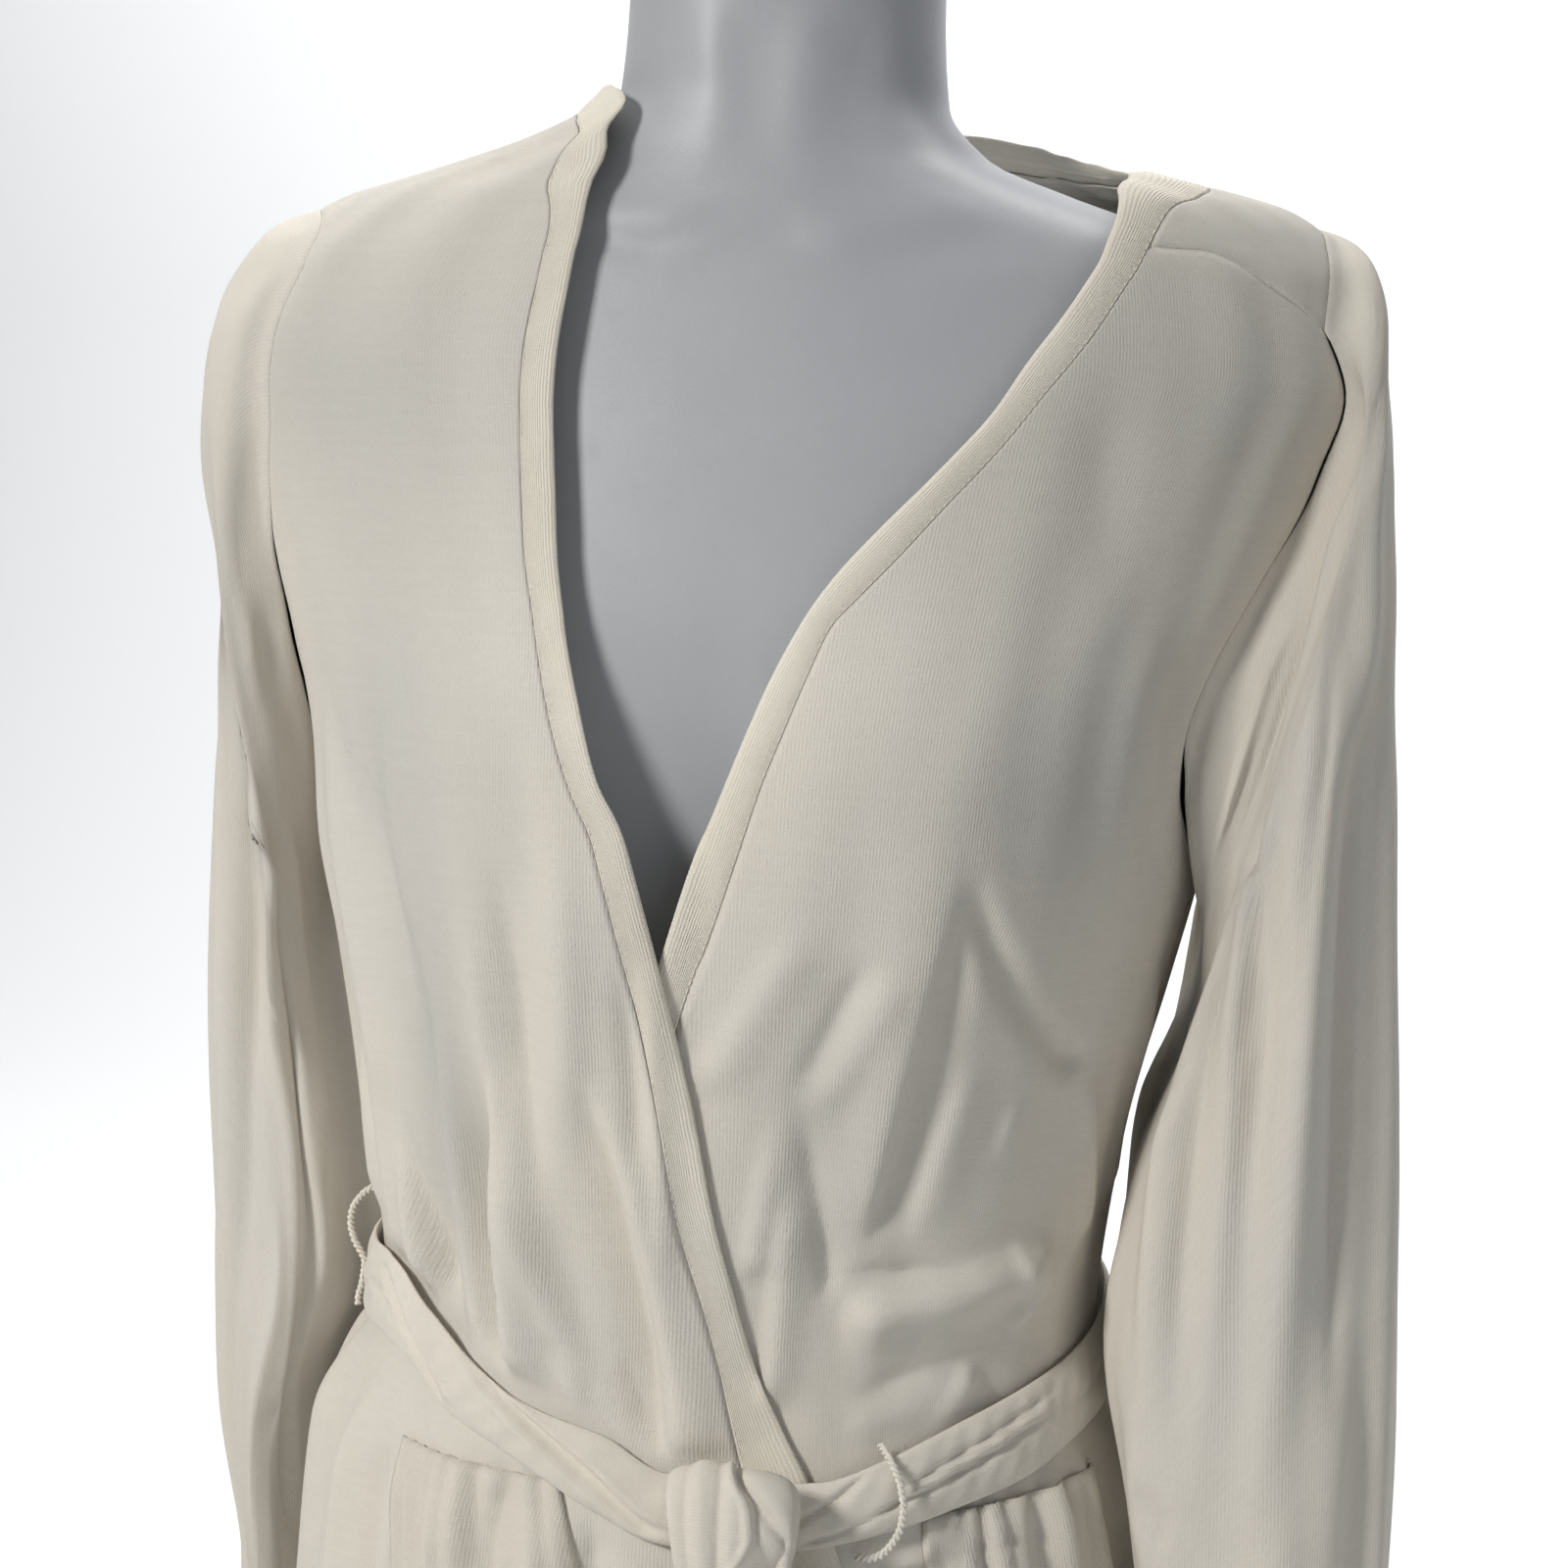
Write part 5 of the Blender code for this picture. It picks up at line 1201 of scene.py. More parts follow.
def left_front_grid():
    """Turns and heights of the front that lies under, from the neckband's seam to its side seam."""
    edge = neck_line("seam", NECK_PLACES["left"])
    hem = table("turn height", [(edge[0, 0], edge[0, 1]), (90, HEM_HEIGHT)])
    return patch(edge, side_line(LEFT_FRONT_ARMHOLE), along(hem, LEFT_COLUMNS),
                 along(LEFT_SHOULDER_SEAM, LEFT_COLUMNS))


def right_front_sheet(grid, out=0.0):
    """The right front's inner face, raised over the left front."""
    turn, height = grid[..., 0], grid[..., 1]
    return surface(turn, height, lap(turn, height) + out)


def left_front_sheet(grid, out=0.0):
    """The left front's inner face, which lies in where the right front hides it."""
    turn, height = grid[..., 0], grid[..., 1]
    return surface(turn, height, sink(turn, height) + out)


# ---------------------------------------------------------------- tubes and strips

def add_tubes(name, points, uv, material):
    """Closed tubes in one mesh: rings of points along each path, closed by a fan to a pole at both ends.

    The numbers of a tube's faces are those of the first one plus its place times the points in a tube.
    """
    if signed_volume(points) < 0:
        points, uv = points[:, :, ::-1], uv[:, :, ::-1]
    count, rings, around = points.shape[:3]
    size = rings * around + 2
    flat = np.concatenate([points.reshape(count, -1, 3), points[:, [0, -1]].mean(2)], axis=1)
    ring = np.arange(around)
    ahead, top = (ring + 1) % around, (rings - 1) * around
    fans = np.concatenate([np.stack([ahead, ring, np.full(around, size - 2)], -1),
                           np.stack([top + ring, top + ahead, np.full(around, size - 1)], -1)])
    first = (np.arange(count) * size)[:, None, None]
    quads = (grid_quads(rings, around, True)[None] + first).reshape(-1, 4)
    fans = (fans[None] + first).reshape(-1, 3)
    spots = grid_quads(rings, around + 1)
    corners = uv.reshape(count, -1, 2)[:, spots].reshape(-1, 2)
    ends = np.repeat(uv[:, [0, -1]].mean(2)[:, :, None], 3 * around, axis=2).reshape(-1, 2)
    return add_mesh(name, flat, quads.tolist() + fans.tolist(), material, np.concatenate([corners, ends]))


def signed_volume(points):
    """Six times the volume that the tubes' rings enclose: triple products of their faces' corners."""
    p = points - points.reshape(-1, 3).mean(0)
    a, d = p[:, :-1], p[:, 1:]
    b, c = np.roll(a, -1, axis=2), np.roll(d, -1, axis=2)
    return np.sum(a * (np.cross(b, c) + np.cross(c, d)))


def strip(first_edge, second_edge, across, out):
    """Rings of a strip: points at shares of the way between two edge lines, moved out from the body."""
    spot = first_edge[:, None] + (second_edge - first_edge)[:, None] * across[None, :, None]
    return surface(spot[..., 0], spot[..., 1], out)


def strip_uv(rings, across, width):
    """Cloth coordinates of a strip: the share across times its width, and the distance along it."""
    u = np.append(across, across[0]) * width
    return side_by_side(u[None], distances(rings.mean(1))[:, None])


def strap_profile(outer, inner):
    """Shares across a strap for its outer side and back along its inner one, close together at the edges."""
    there = 0.5 - 0.5 * np.cos(np.linspace(0, np.pi, outer))
    back = 0.5 + 0.5 * np.cos(np.linspace(0, np.pi, inner))[1:-1]
    return np.concatenate([there, back]), np.concatenate([np.ones(outer), np.zeros(inner - 2)])


def strap_out(across, outer, lift, relief):
    """How far out a strap's profile lies: its lift, and on the outer side a wall with round edges on top.

    The wall is 4a(1 - a) to a low power, and the crown a sine; grooves leave 0.8 mm of the cloth standing.
    """
    wall = STRAP_WALL * (4 * across * (1 - across)) ** 0.33 + STRAP_CROWN * np.sin(np.pi * across) ** 0.7
    kept = relief * np.minimum(1, 8 * across * (1 - across))
    return lift + outer * np.maximum(wall + kept, np.minimum(wall, STRAP_LEAST))


# ---------------------------------------------------------------- operators

class WrapTopPiece:
    """What the operators share: each makes its pieces at once and can be undone."""

    bl_options = {"REGISTER", "UNDO"}

    def execute(self, context):
        """Make the pieces; an error in them stops the run."""
        self.make(context.scene.wrap_top_sizes)
        return {"FINISHED"}


class WRAPTOP_OT_stage(WrapTopPiece, bpy.types.Operator):
    """Add the camera, the lights, the floor and its curved backdrop"""

    bl_idname = "wrap_top.stage"
    bl_label = "Stage"

    def make(self, sizes):
        """The camera looks along its axis from a distance; the floor bends up behind in a quarter circle."""
        scene = bpy.context.scene
        scene.view_settings.view_transform = "Standard"
        azimuth, elevation, roll = (math.radians(CAMERA[name]) for name in ("azimuth", "elevation", "roll"))
        back = np.array([math.sin(azimuth) * math.cos(elevation), -math.cos(azimuth) * math.cos(elevation),
                         math.sin(elevation)])
        level = np.array([math.cos(azimuth), math.sin(azimuth), 0.0])
        above = np.cross(back, level)
        right = level * math.cos(roll) + above * math.sin(roll)
        up = above * math.cos(roll) - level * math.sin(roll)
        lens = bpy.data.cameras.new("camera")
        lens.lens = CAMERA_LENS
        place = np.array(CAMERA["target"]) + back * CAMERA["distance"]
        scene.camera = set_up("camera", lens, (right, up, back), place)
        for row in LIGHTS:
            add_light(*row)
        world = bpy.data.worlds.new("studio")
        world.use_nodes = True
        background = world.node_tree.nodes["Background"].inputs
        background["Color"].default_value = WORLD_COLOUR
        background["Strength"].default_value = WORLD_STRENGTH
        scene.world = world
        bend = np.linspace(0, np.pi / 2, 24)
        y = np.concatenate([[-FLOOR_REACH], FLOOR_END + FLOOR_BEND * np.sin(bend), [FLOOR_END + FLOOR_BEND]])
        z = np.concatenate([[0.0], FLOOR_BEND - FLOOR_BEND * np.cos(bend), [BACKDROP_TOP]])
        x = np.linspace(-FLOOR_REACH, FLOOR_REACH, 9)
        points = side_by_side(x[None], y[:, None], z[:, None])
        thing = add_mesh("floor", points, grid_quads(len(y), len(x)), material("floor"))


def set_up(name, data, axes, place):
    """Put a camera or a light in its place, turned by its own right, upward and backward directions."""
    thing = bpy.data.objects.new(name, data)
    matrix = Matrix(np.array(axes).T.tolist()).to_4x4()
    matrix.translation = list(place)
    thing.matrix_world = matrix
    bpy.context.scene.collection.objects.link(thing)
    return thing


def add_light(name, place, aim, size, spread, watts, colour):
    """A square soft light that faces what it lights."""
    light = bpy.data.lights.new(name, "AREA")
    light.size = size
    light.spread = math.radians(spread)
    light.energy = watts
    light.color = colour
    back = unit(np.array(place) - np.array(aim))
    side = unit(np.cross([0, 0, 1], back))
    set_up(name, light, (side, np.cross(back, side), back), place)


class WRAPTOP_OT_form(WrapTopPiece, bpy.types.Operator):
    """Add the limbless dress form"""

    bl_idname = "wrap_top.form"
    bl_label = "Dress form"

    def make(self, sizes):
        """Rings from the flat base to the flat top of the neck, whose rims are round, with the relief."""
        add_form()


class WRAPTOP_OT_fronts(WrapTopPiece, bpy.types.Operator):
    """Add the two front panels, the right one lapped over the left"""

    bl_idname = "wrap_top.fronts"
    bl_label = "Fronts"

    def make(self, sizes):
        """Each panel's grid on the draped surface, with the dips of its seams and the relief of its hem."""
        for name, grid, sheet, side, neck in (
                ("front_right", right_front_grid(), right_front_sheet, "left", "right"),
                ("front_left", left_front_grid(), left_front_sheet, "right", "left")):
            dips = {side: SEAM_DIP, neck: NECK_DIPS[name], "top": YOKE_DIP}
            out = seam_dip(grid, **dips) + hem_relief(grid[..., 1], HEM_HEIGHT)
            # How much painted shade each point takes where the cloth clings.
            with_cling_shade = {"cling_shade": cling_shade(grid[..., 0], grid[..., 1])}
            thing = add_sheet(f"{name}_cloth", sheet(grid, out), cloth_uv(grid), material("jersey"),
                              sizes.cloth_wall, values=with_cling_shade)
            finish_piece(thing, "jersey", name)


class WRAPTOP_OT_back(WrapTopPiece, bpy.types.Operator):
    """Add the back, with a yoke over each shoulder"""

    bl_idname = "wrap_top.back"
    bl_label = "Back"

    def make(self, sizes):
        """One patch up to a line across the shoulder blades, and two yokes that share that line's points."""
        necks = {name: neck_line("seam", NECK_PLACES[name]) for name in ("left yoke", "back", "right yoke")}
        left_line = yoke_line(LEFT_SHOULDER_ARMHOLE, necks["left yoke"][-1])
        right_line = yoke_line(RIGHT_SHOULDER_ARMHOLE, necks["right yoke"][0])[::-1]
        top = np.concatenate([left_line[:-1], necks["back"], right_line[1:]])
        hem = along(table("turn height", [(90, HEM_HEIGHT), (180, HEM_HEIGHT), (270, HEM_HEIGHT)]), len(top))
        main = patch(side_line(LEFT_BACK_ARMHOLE), side_line(RIGHT_BACK_ARMHOLE), hem, top)
        left_yoke = patch(along(LEFT_SHOULDER_ARMHOLE, LEFT_YOKE_ROWS), necks["left yoke"][::-1],
                          main[-1, :YOKE_COLUMNS], along(flipped(LEFT_SHOULDER_SEAM), YOKE_COLUMNS))
        ridge = table("turn height", [(270, 0.736), (270, 0.720), (270, 0.704)])
        right_yoke = patch(necks["right yoke"], along(RIGHT_SHOULDER_ARMHOLE, RIGHT_YOKE_ROWS),
                           main[-1, -YOKE_COLUMNS:], along(ridge, YOKE_COLUMNS))
        column = np.arange(main.shape[1])
        past_left, past_right = column - YOKE_COLUMNS, main.shape[1] - YOKE_COLUMNS - 1 - column
        in_neck = fade((past_left + 5) / 5) * fade((past_right + 5) / 5)
        sides, top_edge = seam_dip(main, left=SEAM_DIP, right=SEAM_DIP), seam_dip(main, top=NECK_DIPS["back"])
        main_dip = np.minimum(sides, top_edge * in_neck)
        dips = [main_dip + hem_relief(main[..., 1], HEM_HEIGHT),
                seam_dip(left_yoke, left=SEAM_DIP, right=NECK_DIPS["yoke"], top=YOKE_DIP)[1:],
                seam_dip(right_yoke, left=NECK_DIPS["yoke"], right=SEAM_DIP, top=YOKE_DIP)[1:]]
        grids = [main, left_yoke[1:], right_yoke[1:]]
        spots = np.concatenate([grid.reshape(-1, 2) for grid in grids])
        out = np.concatenate([dip.ravel() for dip in dips])
        points = surface(spots[:, 0], spots[:, 1], out)
        last_row = np.arange(main.size // 2).reshape(main.shape[:2])[-1]
        faces, first = [grid_quads(*main.shape[:2])], main.size // 2
        for grid, shared in ((grids[1], last_row[:YOKE_COLUMNS]), (grids[2], last_row[-YOKE_COLUMNS:])):
            own = first + np.arange(grid.size // 2).reshape(grid.shape[:2])
            numbers = np.concatenate([shared[None], own])
            faces.append(np.stack([numbers[:-1, :-1], numbers[:-1, 1:], numbers[1:, 1:], numbers[1:, :-1]],
                                  -1).reshape(-1, 4))
            first += grid.size // 2
        faces = np.concatenate(faces)
        # How much painted shade each point takes where the cloth clings.
        with_cling_shade = {"cling_shade": cling_shade(spots[:, 0], spots[:, 1])}
        thing = add_mesh("back_cloth", points, faces, material("jersey"), cloth_uv(spots)[faces], with_cling_shade)
        thicken(thing, sizes.cloth_wall, 1.0)
        finish_piece(thing, "jersey", "back")


def yoke_line(armhole, neck_corner):
    """The line from the top of the back armhole to the neckband's seam."""
    start = np.array([armhole["turn"][0], armhole["height"][0]])
    return start + (neck_corner - start) * np.linspace(0, 1, YOKE_COLUMNS)[:, None]


class WRAPTOP_OT_neckband(WrapTopPiece, bpy.types.Operator):
    """Add the binding round the neck and down both fronts, and the stitches along its seam"""

    bl_idname = "wrap_top.neckband"
    bl_label = "Neckband"

    def make(self, sizes):
        """A soft flattened profile carried along the seam, slightly rippled by sines of the distance."""
        order = ("left", "left yoke", "back", "right yoke", "right")
        places = np.concatenate([NECK_PLACES[name][:-1] for name in order] + [NECK_PLACES["right"][-1:]])
        seam, edge = neck_line("seam", places), neck_line("edge", places)
        across = NECKBAND_PROFILE["across"]
        spot = seam[:, None] + (edge - seam)[:, None] * across[None, :, None]
        run = distances(inner_face(*seam.T))[:, None]
        ripple = 0.09 * np.sin(run / 0.00105 + 2 * np.sin(run / 0.011)) + 0.12 * np.sin(run / 0.0031 + 1.0)
        profile = NECKBAND_PROFILE["out"]
        out = (profile + ripple * np.sin(np.pi * across) ** 0.5 * (profile > 0.5)) * MM
        rings = surface(spot[..., 0], spot[..., 1], out + neckband_lift(spot))
        uv = strip_uv(rings, across, NECKBAND_WIDTH)
        thing = add_tubes("neckband_binding", rings[None], uv[None], material("binding"))
        finish_piece(thing, "binding", "neckband")
        self.add_stitches(sizes, seam, edge, run[:, 0])

    def add_stitches(self, sizes, seam, edge, run):
        """Short round stitches at an even pitch: ellipsoids whose long axis follows the seam."""
        spot = seam + (edge - seam) * STITCH_ACROSS
        lift = neckband_lift(spot) + STITCH_OUT
        line = surface(*spot.T, lift)
        outward = surface(*spot.T, lift + MM) - line
        pitch, half, radius = sizes.stitch_pitch, sizes.stitch_length / 2, sizes.stitch_width / 2
        middle = np.arange(0.02, run[-1] - 0.02, pitch)[:, None]
        step = np.sin(np.linspace(-1, 1, 7) * 1.45)[None]
        at = middle + half * step
        centre = np.stack([np.interp(at, run, line[:, k]) for k in range(3)], -1)
        normal = unit(np.stack([np.interp(at, run, outward[:, k]) for k in range(3)], -1))
        side = np.cross(normal, unit(np.gradient(centre, axis=1)))
        turn = np.linspace(0, 2 * np.pi, 8, endpoint=False)[None, None, :, None]
        girth = radius * np.sqrt(1 - step ** 2)[..., None, None]
        section = np.cos(turn) * normal[:, :, None] + np.sin(turn) * side[:, :, None]
        rings = centre[:, :, None] + girth * section
        uv = side_by_side(np.linspace(0, 0.0018, 9)[None, None], at[..., None])
        thing = add_tubes("neckband_stitches", rings, uv, material("thread"))
        finish_piece(thing, "thread")


def neckband_lift(spot):
    """The neckband goes up with the right front where that laps over, and in with the left one under it."""
    turn, height = spot[..., 0], spot[..., 1]
    return np.where(turn > 270, lap(turn, height), np.where(turn < 60, sink(turn, height), 0))


class WRAPTOP_OT_sleeves(WrapTopPiece, bpy.types.Operator):
    """Add the two long empty sleeves"""

    bl_idname = "wrap_top.sleeves"
    bl_label = "Sleeves"

    def make(self, sizes):
        """Each sleeve's plain rings, refined, with its folds along the normal and the dip of its seam."""
        for name, guides, rows, side in (("right", RIGHT_SLEEVE, RIGHT_SLEEVE_FOLDS, RIGHT),
                                         ("left", LEFT_SLEEVE, LEFT_SLEEVE_FOLDS, LEFT)):
            points, around = sleeve_grid(guides, side)
            share = np.linspace(0, 1, len(points))
            for place in SLEEVE_FIRST_RINGS:
                points = np.insert(points, 1, points[0] + (points[1] - points[0]) * place, axis=0)
                share = np.insert(share, 1, share[1] * place)
            share = share[:, None]
            degrees = around[None] + 0 * share
            round_unit = -side * math.radians(1) * SLEEVE_RADIUS
            relief = SLEEVE_DEPTH * crease_relief(rows, degrees, share, round_unit, -SLEEVE_LENGTH)
            for whole, down, phase, depth in zip(*SLEEVE_CRUMPLE.values()):
                relief = relief + depth * MM * np.sin(np.radians(whole * degrees) + down * share + phase)
            inside = bell((np.mod(degrees, 360) - SLEEVE_INSIDE) / SLEEVE_INSIDE_WIDTH)
            relief = relief * (1 - 0.8 * inside) * fade(share / 0.05)
            distance = SLEEVE_LENGTH * share
            dip = SLEEVE_DIP + low_lift(points[:1, :, 2])
            relief = relief - dip * bell(distance / (1.9 * MM))
            relief = relief + hem_relief(SLEEVE_LENGTH - distance, 0.0)
            points = points + grid_normals(points, side) * relief[..., None]
            if side < 0:
                points, around = points[:, ::-1], around[::-1]
            seam_turn = np.append(around, around[0] + 360 * side)
            u, v = np.broadcast_arrays(np.radians(seam_turn)[None] * SLEEVE_RADIUS, -distance)
            thing = add_sheet(f"sleeve_{name}_cloth", points, np.stack([u, v], -1), material("jersey"),
                              sizes.cloth_wall, closed=True, offset=-1.0)
            finish_piece(thing, "jersey", f"sleeve_{name}")


def armhole_loop(side, refine=1):
    """The sleeve's first ring, from the ridge of the shoulder down the front and up the back of the armhole.

    It is lifted level with the panels' outer faces and moved just off their edges. It comes with the
    number of its lowest point and with the directions away from the edges, which are cross products.
    """
    shoulder_path, front, back = ARMHOLES[side]
    rows = (PLAIN_ARMHOLE_ROWS - 1) * refine + 1
    shoulder = along(shoulder_path, (PLAIN_YOKE_ROWS[side] - 1) * refine + 1)
    ridge = len(shoulder) - 1
    if side == LEFT:
        ridge = refine * int(np.argmin(np.abs(along(shoulder_path, PLAIN_YOKE_ROWS[side])[:, 0] - 90)))
    ring = np.concatenate([shoulder[ridge:-1], along(front, rows)[:-1],
                           along(flipped(back), rows)[:-1], shoulder[:ridge]])
    lift = 1.0 * MM + low_lift(ring[:, 1])
    points = surface(*ring.T, lift)
    ahead, behind = np.roll(points, -1, axis=0), np.roll(points, 1, axis=0)
    away = unit(np.cross(surface(*ring.T, lift + MM) - points, ahead - behind) * side)
    return points + away * 0.1 * MM, len(shoulder) - 1 - ridge + rows - 1, away


def low_lift(height):
    """How much higher a sleeve's seam lies at the lower part of the armhole."""
    return LOW_LIFT * fade((0.60 - height) / 0.1)


def sleeve_grid(guides, side):
    """A sleeve's fine grid and the degrees round it: rounded rings that start as the armhole and hang down.

    A ring is an oval of cosine and sine to a power between its guides. The plain rings are refined by
    Catmull-Rom curves, down the sleeve and round it, and the first ones take up the true armhole and
    leave it along the panel's own slope, by a bell curve of their distance from it.
    """
    loop, front_count, _ = armhole_loop(side)
    around, refine = len(loop), SLEEVE_REFINE[side]
    rows = np.arange(len(guides["outer"]), dtype=float)
    at = np.linspace(0, rows[-1], PLAIN_RINGS)
    ring = {key: smooth(rows, column, at)[:, None] for key, column in guides.items()}
    angle = np.interp(np.arange(around), [0, front_count, around], [0, np.pi, 2 * np.pi])[None]
    cosine, sine = rounded(np.cos(angle), 0.85), rounded(np.sin(angle), 0.85)
    x = (ring["outer"] + ring["inner"]) / 2 + (ring["outer"] - ring["inner"]) / 2 * cosine
    y = ring["middle"] - ring["depth"] * sine
    z = ring["inner_height"] + (ring["outer_height"] - ring["inner_height"]) / 2 * (1 + cosine)
    share = (at / rows[-1])[:, None]
    swell = np.zeros((PLAIN_RINGS, around))
    for k, (middle, drift, width, depth) in enumerate(zip(*SLEEVE_SWELL.values())):
        apart = wrapped(np.degrees(angle) - middle - drift * np.sin(5 * share + k))
        swell = swell + depth * bell(apart / width)
    swell = (swell - SWELL_MEAN) * fade((share - 0.16) / 0.22) * SWELL_SHARE
    oval = np.stack([(x + swell * cosine) * side, y - swell * sine, z], -1)
    blend = (1 - fade(share / ARMHOLE_BLEND))[..., None]
    points = evened(oval + (loop[None] - oval[:1]) * blend)
    points[1:] = clear_of_body(points[1:], ring["inner"][1:], ring["outer"][1:], side)
    points = catmull_rom(catmull_rom(points, SLEEVE_REFINE_DOWN, 0, False), refine, 1, True)
    fine_loop, fine_front, away = armhole_loop(side, refine)
    fine = np.linspace(0, 1, len(points))[:, None, None]
    points = points + (fine_loop - points[0])[None] * (1 - fade(fine / FINE_ARMHOLE_BLEND))
    gone = points - fine_loop
    step = np.linalg.norm(gone, axis=-1, keepdims=True)
    ahead = np.sum(gone * away, axis=-1, keepdims=True) / np.maximum(step, 1e-9)
    points = points + (away * step - gone) * bell(step / LEVEL_REACH) * 0.85 * fade((ahead + 0.2) / 0.6)
    degrees = np.interp(np.arange(len(fine_loop)), [0, fine_front, len(fine_loop)], [0, 180, 360])
    return points, degrees


def catmull_rom(points, times, axis, closed):
    """Points refined along an axis: cubics whose slope at a point is half the step between its neighbours."""
    points = np.moveaxis(points, axis, 0)
    if closed:
        padded = np.concatenate([points[-1:], points, points[:2]])
    else:
        padded = np.concatenate([2 * points[:1] - points[1:2], points, 2 * points[-1:] - points[-2:-1]])
    a, b, c, d = padded[:-3], padded[1:-2], padded[2:-1], padded[3:]
    t = (np.arange(times) / times).reshape(1, -1, *[1] * (points.ndim - 1))
    a, b, c, d = (v[:, None] for v in (a, b, c, d))
    fine = 0.5 * (2 * b + (c - a) * t + (2 * a - 5 * b + 4 * c - d) * t ** 2
                  + (3 * b - a - 3 * c + d) * t ** 3).reshape(-1, *points.shape[1:])
    if not closed:
        fine = np.concatenate([fine, points[-1:]])
    return np.moveaxis(fine, 0, axis)


def grid_normals(points, side):
    """Outward normals of a closed grid: cross products of the differences down it and round it."""
    down = np.gradient(points, axis=0)
    around = np.roll(points, -1, axis=1) - np.roll(points, 1, axis=1)
    return unit(np.cross(down, around) * -side)


def clear_of_body(points, inner, outer, side):
    """Squeeze a sleeve's rings outwards until their inner side is just clear of the body and the belt."""
    x, y, height = points[..., 0] * side, points[..., 1], points[..., 2]
    flank_side = "left" if side == LEFT else "right"
    gap = smooth(SLEEVE_CLEAR["height"], SLEEVE_CLEAR["gap"], height)
    half = smooth(BODY["height"], BODY[flank_side], height) + gap
    depth = np.where(y < 0, smooth(BODY["height"], BODY["front"], height),
                     smooth(BODY["height"], BODY["back"], height))
    flank = half * np.clip(1 - np.abs(y / (depth + gap)) ** ROUNDNESS, 0, 1) ** (1 / ROUNDNESS)
    low = fade((0.50 - height) / 0.05)
    share = np.clip((outer - x) / (outer - inner), 0, 1)
    moved = x + share * np.maximum(flank - inner, 0) * low
    moved = np.where((moved < flank) & (low > 0.99), flank, moved)
    return np.stack([moved * side, y, height], -1)


def evened(points):
    """Even out the spacing of a sleeve's first rings, each point along its own line down the sleeve."""
    share = fade((10 - np.arange(1, len(points) - 1)) / 6)[:, None, None]
    for _ in range(8):
        line = unit(points[2:] - points[:-2])
        uneven = (points[:-2] + points[2:]) / 2 - points[1:-1]
        points[1:-1] += line * np.sum(uneven * line, axis=-1, keepdims=True) * share
    return points


class WRAPTOP_OT_pockets(WrapTopPiece, bpy.types.Operator):
    """Add the two gathered patch pockets"""

    bl_idname = "wrap_top.pockets"
    bl_label = "Pockets"

    def make(self, sizes):
        """A slice of the panel's grid, moved out; it puffs as a product of sines and gathers at the top."""
        for name, grid, sheet in (("pocket_right", right_front_grid(), right_front_sheet),
                                  ("pocket_left", left_front_grid(), left_front_sheet)):
            turns, heights = POCKETS[name]
            first, last = (np.argmin(np.abs(grid[POCKET_ROW, :, 0] - turn)) for turn in turns)
            foot, top = (np.argmin(np.abs(grid[:, first, 1] - height)) for height in heights)
            part = grid[foot:top + 1, first:last + 1]
            u = np.linspace(0, 1, part.shape[1])[None]
            v = np.linspace(0, 1, part.shape[0])[:, None]
            inside = np.sin(np.pi * u) ** 0.35 * fade(v / 0.05)
            puff = POCKET_PUFF * np.sin(np.pi * u) ** 0.8 * np.sin(np.pi * v ** 0.85) ** 0.7
            gather = np.sin(2 * np.pi * (POCKET_GATHERS * u + 0.7 * np.sin(5 * u) + 0.25 * np.sin(4 * v)))
            gather = GATHER_DEPTH * gather * fade((v - 0.35) / 0.5) * np.sin(np.pi * u) ** 0.4
            above_stitching = POCKET_HEM - (heights[1] - part[..., 1])
            hem = 0.3 * MM * fade(above_stitching / (2 * MM)) - 0.9 * MM * bell(above_stitching / (1.2 * MM))
            out = POCKET_LIFT + (POCKET_STEP + hem) * inside + puff + gather
            thing = add_sheet(f"{name}_cloth", sheet(part, out), cloth_uv(part), material("pocket jersey"),
                              sizes.cloth_wall)
            finish_piece(thing, "jersey", name)


class WRAPTOP_OT_belt(WrapTopPiece, bpy.types.Operator):
    """Add the three stretches of the belt round the waist"""

    bl_idname = "wrap_top.belt"
    bl_label = "Belt"

    def make(self, sizes):
        """A strap between the belt's two edges, with its lengthwise folds."""
        across, outer = strap_profile(30, 12)
        for name, (first, last) in BELT_STRETCHES.items():
            turn = np.linspace(first, last, 1 + round((last - first) / BELT_STEP))
            top, bottom = (smooth(BELT["turn"], BELT[edge], turn) for edge in ("top", "bottom"))
            round_unit = math.radians(1) * BELT_RADIUS
            relief = crease_relief(BELT_FOLDS, turn[:, None], across[None], round_unit, BELT_WIDTH)
            relief = relief + 0.25 * MM * np.sin(turn[:, None] * 0.55 + 5 * across[None])
            relief = relief + 0.2 * MM * np.sin(turn[:, None] * 1.3 - 9 * across[None])
            out = strap_out(across[None], outer[None], belt_lift(turn)[:, None], relief)
            rings = strip(np.stack([turn, bottom], -1), np.stack([turn, top], -1), across, out)
            uv = strip_uv(rings, across, 0.03)
            thing = add_tubes(f"{name}_cloth", rings[None], uv[None], material("belt jersey"))
            finish_piece(thing, "jersey", name)


def belt_lift(turn):
    """How far the belt stands off the cloth's inner face: more over the lap and the pocket."""
    bend = wrapped(turn)
    return BELT_LIFT + BELT_EXTRA_LIFT * fade((bend + 62) / 20) * fade((40 - bend) / 18)


